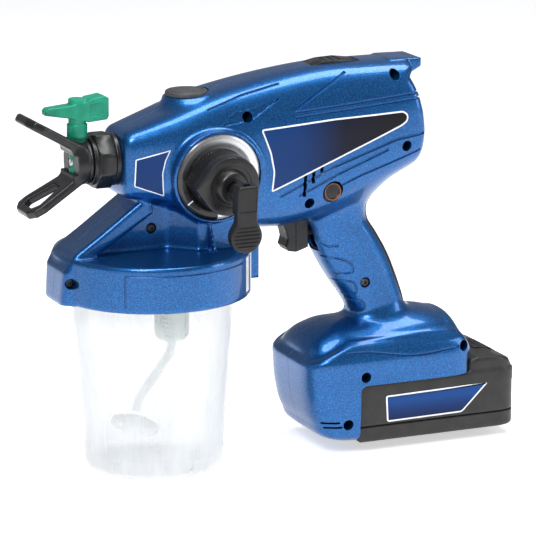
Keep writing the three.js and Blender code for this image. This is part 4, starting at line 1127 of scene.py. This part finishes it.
def teardrop(radius, reach, count=240):
    """A circle drawn out to a point towards -x; both flanks touch the circle."""
    turn = np.linspace(0, 2 * np.pi, count, endpoint=False)
    flank = math.acos(radius / reach)
    off = np.abs(turn - np.pi)
    straight = radius / np.cos(np.maximum(flank - off, 0))
    return turn, np.where(off < flank, straight, radius)


def build_dial():
    """A printed band, crowned between its edges, round a dark well."""
    profile = softened([(10.2, 1.2), (DIAL_RADIUS, 1.2), (DIAL_RADIUS, -0.2), (DIAL_RADIUS - 2.2, -1.9),
                        (DIAL_RADIUS - 6.4, -1.9), (DIAL_RADIUS - 8.6, -0.2), (10.2, -0.2)], 1.6, 4)
    band = on_dial(turned("dial_band", "y", profile, (0, 0), 128, 50))
    finish(band, "gun", "dial_silver", replaces=["pressure_dial"])
    mark = block((-0.45, 0.45), (-2.25, -1.0), (-DIAL_RADIUS + 2.0, -DIAL_RADIUS + 6.4), "dial_mark")
    mark.data.transform(Matrix.Rotation(math.radians(52), 4, "Y"))
    finish(on_dial(rounded(mark, 0.15)), "gun", "dial_silver", WHITE)


def build_knob():
    """A fluted drum whose face is drawn out to a pointer, with a turned hub on top."""
    turn, reach = teardrop(KNOB_RADIUS, KNOB_POINTER)
    flute = 0.32 * np.cos(turn * 60)
    levels = [(KNOB_BACK, -0.8, 0), (KNOB_BACK - 0.8, 0, 0), (KNOB_BACK - 2.2, 0, 0),
              (KNOB_BACK - 2.8, -0.3, 1), (-13.2, -0.3, 1), (-13.8, 0, 0), (-16.4, 0, 0),
              (KNOB_FRONT + 1.6, 0, 0),
              (KNOB_FRONT + 0.5, -0.45, 0), (KNOB_FRONT, -1.6, 0)]
    rings = []
    for along, inset, fluted in levels:
        radius = reach + inset + flute * fluted
        rings.append(placed("y", radius * np.cos(turn), radius * np.sin(turn), np.full(len(turn), along)))
    knob = stack("knob", rings)
    dish = turned("dish", "y", [(0, -40), (15.4, -40), (14.6, KNOB_FRONT + 0.5), (0, KNOB_FRONT + 0.5)])
    hub = turned("hub", "y", softened([
        (0, KNOB_FRONT - 4.4), (9.4, KNOB_FRONT - 4.4), (10.6, KNOB_FRONT - 3.2), (12.6, KNOB_FRONT + 1.2),
        (0, KNOB_FRONT + 1.2)], 0.6))
    cup_face = turned("cup_face", "y", [(0, -40), (7.8, -40), (6.6, KNOB_FRONT - 3.2), (0, KNOB_FRONT - 3.2)])
    bores = [rod("y", 4.4, -60, 5, (0, 0), 40), rod("y", 8.5, -7, 5, (0, 0), 40)]
    carve(knob, [dish])
    carve(knob, [hub], "UNION")
    carve(knob, [cup_face, *bores])
    finish(on_dial(knob), "pressure_knob", "knob_black", GLOSS_BLACK, ["pressure_knob"])


LEVER_BACK, LEVER_FRONT, LEVER_THIN = -41.0, -52.0, -44.2


def lever_field(x, y, z):
    """The lever's blade: a square head, a waist and a round paddle, thinner than the head."""
    neck = trimmed(np.abs(x) - 7.2, np.abs(z + 7) - 16, 2.0)
    paddle = np.hypot(x, z + 26) - 11.2
    plan = blended(neck, paddle, 3.0)
    front = trimmed(plan, np.abs(y - (LEVER_BACK + LEVER_FRONT) / 2) - (LEVER_BACK - LEVER_FRONT) / 2, 1.8)
    thinned = np.maximum(LEVER_THIN - y, z + 12)
    return trimmed(front, -thinned, 2.0)


def build_lever():
    """The prime lever: ribs across its paddle and a notch in its head for the stem."""
    made = skin("lever", lever_field, (-13, -54, -39), (13, -39, 11), 0.6)
    ribs = []
    for i in range(6):
        height = -19.6 - i * 2.6
        half = math.sqrt(max(9.2 ** 2 - (height + 26) ** 2, 1))
        ribs.append(swept("rib", [(-half, LEVER_FRONT + 0.1, height), (-half + 1, LEVER_FRONT - 0.25, height),
                                  (half - 1, LEVER_FRONT - 0.25, height), (half, LEVER_FRONT + 0.1, height)],
                          0.62, 10))
    for rib in ribs:
        carve(made, [rib], "UNION")
    carve(made, [
        rod("y", 4.3, LEVER_BACK - 4.4, LEVER_BACK + 1, (0, 0), 32),
        block((-2.6, 2.6), (-49.0, -45.0), (4.6, 12)),
        block((-6.0, 6.0), (-55, LEVER_FRONT + 0.5), (-8.5, 6.6)),
    ])
    finish(on_dial(made), "prime_lever", "knob_black", KNOB_BLACK, ["prime_lever"])


def build_stem():
    stem = turned("stem", "y", softened([
        (0, 14), (4, 14), (4, -31.5), (5.2, -31.5), (6.4, -33.0), (6.4, -40.4), (4, -40.4), (4, -45),
        (0, -45),
    ], 0.3, 2), (0, 0), 56)
    finish(on_dial(stem), "prime_lever", "steel", DARK_STEEL, ["valve_stem"])


# ---------------------------------------------------------------- nose, nut, guard and tip

def build_nose():
    low, high = box("nose_collar")
    radius = (high[2] - low[2]) / 2
    ring = turned("nose_ring", "x", softened([
        (9.3, low[0]), (radius - 0.9, low[0]), (radius, low[0] + 0.9), (radius, high[0]), (9.3, high[0]),
    ], 0.4), (0, SPRAY_Z), 96)
    finish(ring, "gun", "black_plastic", GLOSS_BLACK, ["nose_collar"])


def build_nut():
    """An octagonal nut with chamfered corners and a round lip towards the guard."""
    low, high = box("guard_nut")
    flats = (high[2] - low[2]) / 2
    turn = (np.arange(8) + 0.5) * np.pi / 4
    corner = flats / math.cos(np.pi / 8)
    front = low[0] + 2.6
    outline = np.stack([corner * np.cos(turn), SPRAY_Z + corner * np.sin(turn)], 1)
    nut = prism("x", outline, front, high[0], "nut")
    chamfer = turned("chamfer", "x", [
        (0, front), (flats + 0.1, front), (corner + 0.4, low[0] + 4.4), (corner + 0.4, high[0] - 1.4),
        (flats + 0.2, high[0]), (0, high[0])], (0, SPRAY_Z))
    carve(nut, [chamfer], "INTERSECT")
    lip = turned("lip", "x", softened([(0, low[0]), (flats - 1.6, low[0]), (flats - 1.6, low[0] + 3.4),
                                       (0, low[0] + 3.4)], 0.5), (0, SPRAY_Z))
    carve(nut, [lip], "UNION")
    carve(nut, [rod("x", 9.4, low[0] - 1, high[0] + 1, (0, SPRAY_Z), 48),
                rod("x", 13.4, low[0] - 1, -40.6, (0, SPRAY_Z), 48)])
    finish(rounded(nut, 0.35, 2), "guard_nut", "black_plastic", GLOSS_BLACK, ["guard_nut"])


WING_LENGTH, WING_HALF, WING_THICK, WING_TILT = 42.0, 17.6, 6.2, math.radians(30)


def wing_field(x, y, z, side):
    """One looped wing, flat along -X from its root and tilted away from the spray."""
    out, up = x - (TIP_X - 3), z - (SPRAY_Z + side * 11)
    along = -(out * math.cos(WING_TILT) - side * up * math.sin(WING_TILT))
    rise = side * out * math.sin(WING_TILT) + up * math.cos(WING_TILT)
    plan = polygon(along, np.abs(y), [(-4, -1), (-4, 12), (WING_LENGTH - 11, WING_HALF),
                                      (WING_LENGTH - 4, WING_HALF - 1.5), (WING_LENGTH, WING_HALF - 8),
                                      (WING_LENGTH, -1)])
    hole = polygon(along, np.abs(y), [(12, -1), (12, 4.5), (WING_LENGTH - 11, WING_HALF - 7.0),
                                      (WING_LENGTH - 6.4, WING_HALF - 10), (WING_LENGTH - 6.4, -1)])
    loop = trimmed(plan, -hole + 0.4, 1.2)
    return trimmed(loop, np.abs(rise) - WING_THICK / 2, 2.2)


def guard_field(x, y, z):
    rear = box("tip_guard")[1][0]
    around = np.hypot(y, z - SPRAY_Z)
    drum = trimmed(around - 15.5, np.maximum(TIP_X - 7.5 - x, x + 46.3), 1.6)
    spigot = np.maximum(around - 13, np.maximum(-47 - x, x - rear))
    groove_ring = np.hypot(around - 15.9, x + 48.6) - 0.9
    body = np.minimum(np.maximum(drum, -groove_ring), spigot)
    for side in (1, -1):
        body = blended(body, wing_field(x, y, z, side), 3.0)
    mouth = np.maximum(x - TIP_X + 4.5, np.abs(z - SPRAY_Z) - 6.5)
    barrel = np.maximum(np.hypot(x - TIP_X, y) - 6.1, SPRAY_Z - 12 - z)
    seal = np.maximum(around - 6.3, -46.5 - x)
    passage = np.maximum(around - 2.2, TIP_X - x)
    return trimmed(body, -np.minimum(np.minimum(mouth, barrel), np.minimum(seal, passage)), 0.6)


def build_guard():
    low, high = box("tip_guard")
    made = skin("guard", guard_field, low - 1.6, high + 1.6, 0.8)
    finish(made, "tip_guard", "black_plastic", GLOSS_BLACK, ["tip_guard"])


def tip_field(x, y, z):
    """The arrow-shaped handle on its barrel."""
    low, high = box("spray_tip")
    arrow = polygon(x, z, [(low[0], 248.9), (-58, 245.6), (-47, 242.8), (-34, 243.8), (high[0], 246),
                           (high[0], 258.4), (-36, high[2]), (-45.5, 258.6), (-51.5, 255.2), (-74.5, 253.6),
                           (low[0], 252.0)])
    along = np.asarray(x, dtype=float).ravel()
    half = np.interp(along, [low[0], -50.5, -46.5, high[0]], [4.3, 6.0, 7.5, 7.5])
    side = np.abs(y) - half.reshape(np.shape(x))
    handle = trimmed(arrow, side, 1.6)
    panel = polygon(x, z, [(-46, 246.6), (-37, 247.4), (-37, 255.8), (-46, 254.6)])
    handle = trimmed(handle, -np.maximum(panel, 6.9 - np.abs(y)), 0.5)
    around = np.hypot(x - TIP_X, y)
    barrel = trimmed(around - 5.8, np.abs(z - (SPRAY_Z + 16)) - 27, 0.8)
    shoulder = trimmed(around - 6.9, np.abs(z - 236.5) - 5.0, 0.8)
    notch = np.maximum(np.abs(z - 231.5) - 1.2, 3.4 - np.abs(y))
    barrel = trimmed(np.minimum(barrel, shoulder), -notch, 0.4)
    whole = blended(handle, barrel, 1.6)
    around_bore = np.hypot(y, z - SPRAY_Z)
    seat = np.maximum(around_bore - 3.4, x - TIP_X + 3.6)
    return np.maximum(whole, -np.minimum(around_bore - 1.5, seat))


def build_tip():
    low, high = box("spray_tip")
    made = skin("tip_key", tip_field, low - 1.2, high + 1.2, 0.6)
    finish(made, "spray_tip", "tip_green", GREEN, ["spray_tip"])
    orifice = turned("orifice", "x", softened([
        (0.7, TIP_X - 5.3), (2.2, TIP_X - 5.3), (3.2, TIP_X - 4.7), (3.2, TIP_X - 3.7), (0.7, TIP_X - 3.7),
    ], 0.2), (0, SPRAY_Z), 40)
    finish(orifice, "spray_tip", "steel")


def build_outlet():
    """The outlet tube, threaded where the nut runs."""
    profile = [(1.5, 7), (1.5, -44), (8.0, -44)]
    for i in range(12):
        at = -43.4 + i * 1.0
        profile += [(9.0, at), (9.0, at + 0.35), (8.35, at + 0.55), (8.35, at + 0.8)]
    profile += [(9, -31), (9, -24), (5, -24), (5, 7)]
    finish(turned("outlet", "x", profile, (0, SPRAY_Z), 48), "gun", "steel", replaces=["outlet_tube"])


# ---------------------------------------------------------------- cup and suction

def build_cup():
    """The cup's wall: rounded foot, slight taper, a bead near the foot and a rolled rim."""
    foot, mouth, rim = 46.8, (CUP_HIGH[0] - CUP_LOW[0]) / 2, CUP_HIGH[2]
    wall, floor, corner = 1.5, 2.4, 6.0
    flare = (mouth - foot) / (rim - corner)
    turn = np.linspace(0, np.pi / 2, 9)
    outer = [(foot - corner + corner * math.sin(a), corner - corner * math.cos(a)) for a in turn]
    inner = [(foot - corner + (corner - wall) * math.sin(a), corner - (corner - floor) * math.cos(a))
             for a in reversed(turn)]
    levels = [12, 13.2, 14.4, 30, 60, 90, 118, rim - 4]
    swell = [0, 0.35, 0, 0, 0, 0, 0, 0]
    side = [(foot + flare * (z - corner) + bulge, z) for z, bulge in zip(levels, swell)]
    back = [(foot + flare * (z - corner) - wall, z) for z in reversed(levels[2:])]
    profile = [(0, 1.2), (foot - corner - 6, 1.2), (foot - corner - 4, 0), *outer, *side,
               (mouth, rim - 3), (mouth, rim), (mouth - wall, rim), *back, *inner, (0, floor)]
    cup = turned("paint_cup", "z", profile, (0, 0), 144, 40)
    finish(cup, "cup", "cup_clear", replaces=["cup"])


def build_cover():
    """The cover that the cup screws into, with its grip tongue in the collar's window."""
    skirt = COVER_LOW[2]
    deck = 138.2
    dish = turned("cover", "z", [(0, deck), (60.4, deck), (60.4, skirt), (62.6, skirt), (62.6, deck + 2.6),
                                 (0, deck + 2.6)], (0, 0), 128)
    tongue = block((COLLAR_RADIUS - 6.6, COLLAR_RADIUS + 4), (-4.2, 4.2), (skirt + 0.2, COLLAR_TOP - 3.8))
    at_window(tongue)
    carve(tongue, [rod("z", COLLAR_RADIUS - 0.6, 100, 200, (0, 0), 128)], "INTERSECT")
    ribs = []
    for step in range(3):
        rib = block((COLLAR_RADIUS - 1.1, COLLAR_RADIUS + 4), (-2.9 + step * 2.4, -1.9 + step * 2.4),
                    (skirt + 2, COLLAR_TOP - 6))
        ribs.append(at_window(rib))
    carve(tongue, ribs)
    carve(dish, [tongue], "UNION")
    carve(dish, [rod("z", 8.4, 120, 160, (INLET_X, 0), 48)])
    finish(rounded(dish, 0.3), "gun", "white_plastic", WHITE, ["cup_cover"])


def build_inlet():
    """The suction fitting: a threaded barrel under the cover and a pipe up the neck."""
    low, top = INLET_LOW[2], INLET_HIGH[2]
    profile = [(3.6, low + 9), (3.6, low), (9.4, low), (10.4, low + 1)]
    for i in range(7):
        at = low + 2 + i * 3.0
        profile += [(10.6, at), (12.0, at + 0.8), (12.0, at + 1.6), (10.6, at + 2.4)]
    profile += [(10.6, low + 24), (14, low + 25), (14, 137.9), (8, 137.9), (8, 148), (5, 148), (5, top),
                (3, top), (3, low + 9)]
    finish(turned("suction_fitting", "z", profile, (INLET_X, 0), 72), "gun", "fitting_green",
           replaces=["inlet_fitting"])


def build_suction():
    """The bent tube from the fitting down to the strainer."""
    low = INLET_LOW[2]
    path = smooth_path([(INLET_X, 0, low + 7.4), (INLET_X - 1, 0, low - 8), (INLET_X - 10, -1, 66),
                        (-10, -3, 50), (-14.4, -4, 39.4)], 40)
    tube = swept("pickup_tube", path, 3.2, 28)
    past_ends = np.vstack([path[0] + (0, 0, 1), path[1:-1:6], path[-1] - (0, 0, 1)])
    carve(tube, [swept("bore", smooth_path(past_ends, 40), 1.9, 20)])
    finish(tube, "gun", "tube_clear", replaces=["suction_tube"])


def build_strainer():
    """A shallow sieve: a dished shell with slots between its ribs."""
    radius, height = 16.5, 9.0
    shell = turned("sieve", "z", softened([
        (0, height - 2.4), (radius - 3, height - 4), (radius - 3, 0), (radius - 1.5, 0), (radius, 1.5),
        (radius, height - 3), (8, height), (0, height)], 0.6), (0, 0), 72)
    hub = turned("hub", "z", [(0, 0.4), (5, 0.4), (5, height + 0.6), (0, height + 0.6)], (0, 0), 40)
    ribs = []
    for i in range(6):
        rib = block((-radius + 1, radius - 1), (-0.7, 0.7), (0.2, height - 2.2))
        rib.data.transform(Matrix.Rotation(math.radians(i * 30 + 2), 4, "Z"))
        ribs.append(rib)
    carve(shell, [hub, *ribs], "UNION")
    carve(shell, [rod("z", 1.9, height - 4, height + 5, (0, 0), 24)])
    shell.data.transform(Matrix.Rotation(math.radians(14), 4, "Y"))
    shell.data.transform(Matrix.Translation(Vector((-16, -4, 31 - height / 2)) * MM))
    finish(shell, "gun", "white_plastic", WHITE, ["strainer"])


# ---------------------------------------------------------------- battery

PACK_REAR, PACK_HALF, PACK_TOP = CASE_HIGH[0], CASE_HIGH[1], 49.0
PACK_SEAM = TRAY_HIGH[2]
LATCH_TAB = 14.2


def pack_plan(x, y, inset=0.0):
    """The pack seen from above: a flat front and a bowed rear with wide corners."""
    front, rear, half = CASE_LOW[0] + inset, PACK_REAR - inset, PACK_HALF - inset
    bow = rear - 1.2 * (y / half) ** 2
    return trimmed(np.maximum(front - x, np.abs(y) - half), x - bow, 14.0)


def case_field(x, y, z):
    shell = trimmed(pack_plan(x, y), np.maximum(PACK_SEAM + 0.25 - z, z - PACK_TOP), 1.6)
    heel = polygon(x, z, [(222.4, 40), (222.4, PACK_TOP), (223.6, 57.6), (229, 59.4), (245, 59), (255, 55.8),
                          (PACK_REAR - 1, PACK_TOP), (PACK_REAR - 1, 40)])
    heel = trimmed(heel, pack_plan(x, y, 0.4), 3.0)
    rail = np.maximum(np.maximum(164 - x, x - 230), np.minimum(
        np.maximum(np.abs(y) - 21.5, z - 54), np.maximum(np.abs(y) - 25, np.abs(z - 55) - 2)))
    rail = np.maximum(rail, PACK_TOP - 1 - z)
    return np.minimum(blended(shell, heel, 2.0), rail)


def tray_field(x, y, z):
    tray = trimmed(pack_plan(x, y), TRAY_LOW[2] - z, 2.4)
    return trimmed(tray, z - PACK_SEAM, 0.4)


def build_battery():
    latch_low, latch_high = box("battery_latch")
    case = skin("pack_case", case_field, CASE_LOW - 2, CASE_HIGH + 2, 1.2)
    wall = 3.4
    hollow = block((CASE_LOW[0] + wall, PACK_REAR - 14), (-PACK_HALF + wall, PACK_HALF - wall),
                   (0, PACK_TOP - wall))
    blades = [block((160, 175.5), (y - 1.4, y + 1.4), (52.4, 60)) for y in (-15, -5, 5, 15)]
    floor = latch_low[2] - 3.5
    tab = latch_high[0] - LATCH_TAB
    pocket = [block((latch_low[0] - 0.5, tab + 2), (-6.5, 6.5), (floor, 70)),
              block((tab - 0.5, latch_high[0] + 0.5), (-14.5, 14.5), (floor, 70))]
    carve(case, [hollow, *blades, *pocket])
    finish(case, "battery", "pack_black", replaces=["battery_case"])

    tray = skin("pack_tray", tray_field, TRAY_LOW - (2, 2, 2), TRAY_HIGH + (2, 2, 2), 1.2)
    carve(tray, [block((CASE_LOW[0] + 5, PACK_REAR - 16), (-PACK_HALF + 5, PACK_HALF - 5),
                       (TRAY_LOW[2] + 2.4, 30))])
    finish(tray, "battery", "pack_black", replaces=["battery_tray"])


def build_latch():
    """The push tab on the heel, crossed by grip ridges."""
    low, high = box("battery_latch")
    front = high[0] - LATCH_TAB
    arm = block((low[0], front + 1.5), (-6, 6), (low[2], 56.4), "arm")
    tab = prism("y", [(front, low[2]), (high[0], low[2]), (high[0], 57.6), (high[0] - 2.5, high[2] - 1.6),
                      (front + 2.5, high[2]), (front, high[2] - 0.6)], low[1], high[1], "latch_tab")
    ridges = [rod("y", 0.55, -12, 12, (front + 4 + 2.1 * i, high[2] - 0.3 - 0.19 * i), 12) for i in range(4)]
    carve(tab, ridges)
    rounded(tab, 0.5)
    carve(tab, [arm], "UNION")
    finish(tab, "battery_latch", "soft_rubber", replaces=["battery_latch"])


def build_battery_label():
    outline = softened([(157.8, 39.6), (236.9, 40.8), (216.8, 21.3), (158.8, 20.7)], 2.0, 4)
    ink = gradient("battery_print", "Z", 20.5, 41, [
        (0.0, (0.004, 0.010, 0.04)), (0.35, (0.004, 0.024, 0.11)), (0.7, (0.006, 0.05, 0.2)),
        (1.0, (0.006, 0.04, 0.17))])
    for suffix, rim, lift, material in (("edge", 0, 0.2, SILVER_INK), ("print", 1.1, 0.26, ink)):
        shape = prism("y", offset_outline(outline, rim), -PACK_HALF - lift, -PACK_HALF + 0.4,
                      f"battery_label_{suffix}")
        finish(shape, "battery", "pack_black", material)
        twin(shape, f"right_battery_label_{suffix}", "battery")


# ---------------------------------------------------------------- screws

def build_screws():
    """Pan-head screws with a six-lobed recess, each at the bottom of its well."""
    for name, (x, _, z) in SCREW_SEATS.items():
        low, high = box(name)
        face, seat = low[1], low[1] + 2.7
        screw = turned(name.replace("screw", "fixing"), "y", [
            (0, face), (SCREW_HEAD - 1.0, face), (SCREW_HEAD, face + 0.9), (SCREW_HEAD, seat), (1.5, seat),
            (1.5, high[1]), (0, high[1])], (x, z), 28)
        turn = np.arange(36) * np.pi / 18
        lobes = (1.45 + 0.3 * np.cos(6 * turn))[:, None]
        recess = prism("y", np.array([x, z]) + lobes * np.stack([np.cos(turn), np.sin(turn)], 1), face - 1,
                       face + 1.5)
        carve(screw, [recess])
        finish(screw, "gun", "screw_steel", replaces=[name])


build_labels()
build_grip()
build_service_cap()
build_top_insert()
build_trigger()
build_lock()
build_dial()
build_knob()
build_lever()
build_stem()
build_nose()
build_nut()
build_guard()
build_tip()
build_outlet()
build_cup()
build_cover()
build_inlet()
build_suction()
build_strainer()
build_battery()
build_latch()
build_battery_label()
build_screws()


# ---------------------------------------------------------------- camera, floor and light

TARGET = Vector((85.55, 0, 129.11)) * MM
LOOK = Vector((0.3874, 0.8910, -0.2367)).normalized()
DISTANCE = 2406.66 * MM


def make_camera():
    camera = bpy.data.objects.new("camera", bpy.data.cameras.new("camera"))
    bpy.context.scene.collection.objects.link(camera)
    camera.data.sensor_width = 36
    camera.data.lens = 235.07
    camera.data.clip_end = 20
    camera.location = TARGET - LOOK * DISTANCE
    camera.rotation_euler = LOOK.to_track_quat("-Z", "Y").to_euler()
    bpy.context.scene.camera = camera


def softbox(name, place, size, power, aim=(85, 0, 130)):
    light = bpy.data.lights.new(name, "AREA")
    light.shape = "RECTANGLE"
    light.size, light.size_y = size
    light.energy = power
    lamp = bpy.data.objects.new(name, light)
    bpy.context.scene.collection.objects.link(lamp)
    lamp.location = Vector(place) * MM
    direction = Vector(aim) * MM - lamp.location
    lamp.rotation_euler = direction.to_track_quat("-Z", "Y").to_euler()


def make_floor():
    floor = block((-4000, 4000), (-4000, 4000), (-12, -0.4), "floor")
    material = surface("pale_floor", (0.9, 0.9, 0.9), 0.8)
    drive(material, "Base Color", ramp(material, noise(material, 900), [
        (0.0, (0.88, 0.88, 0.885)), (1.0, (0.93, 0.93, 0.93))]))
    shader = nodes_of(material)[0]["Principled BSDF"]
    shader.inputs["Emission Color"].default_value = (1, 1, 1, 1)
    shader.inputs["Emission Strength"].default_value = 0.55
    floor.data.materials.append(material)


def make_studio():
    world = bpy.data.worlds.new("studio")
    bpy.context.scene.world = world
    world.use_nodes = True
    background = world.node_tree.nodes["Background"]
    background.inputs["Color"].default_value = (0.95, 0.97, 1.0, 1)
    background.inputs["Strength"].default_value = 0.3
    softbox("key", (-900, -1300, 1500), (0.7, 0.7), 25)
    softbox("overhead", (150, -100, 1300), (1.6, 0.4), 17)
    softbox("side", (1500, -900, 700), (0.5, 1.2), 9)
    bpy.context.scene.view_settings.view_transform = "Standard"


make_camera()
make_floor()
make_studio()
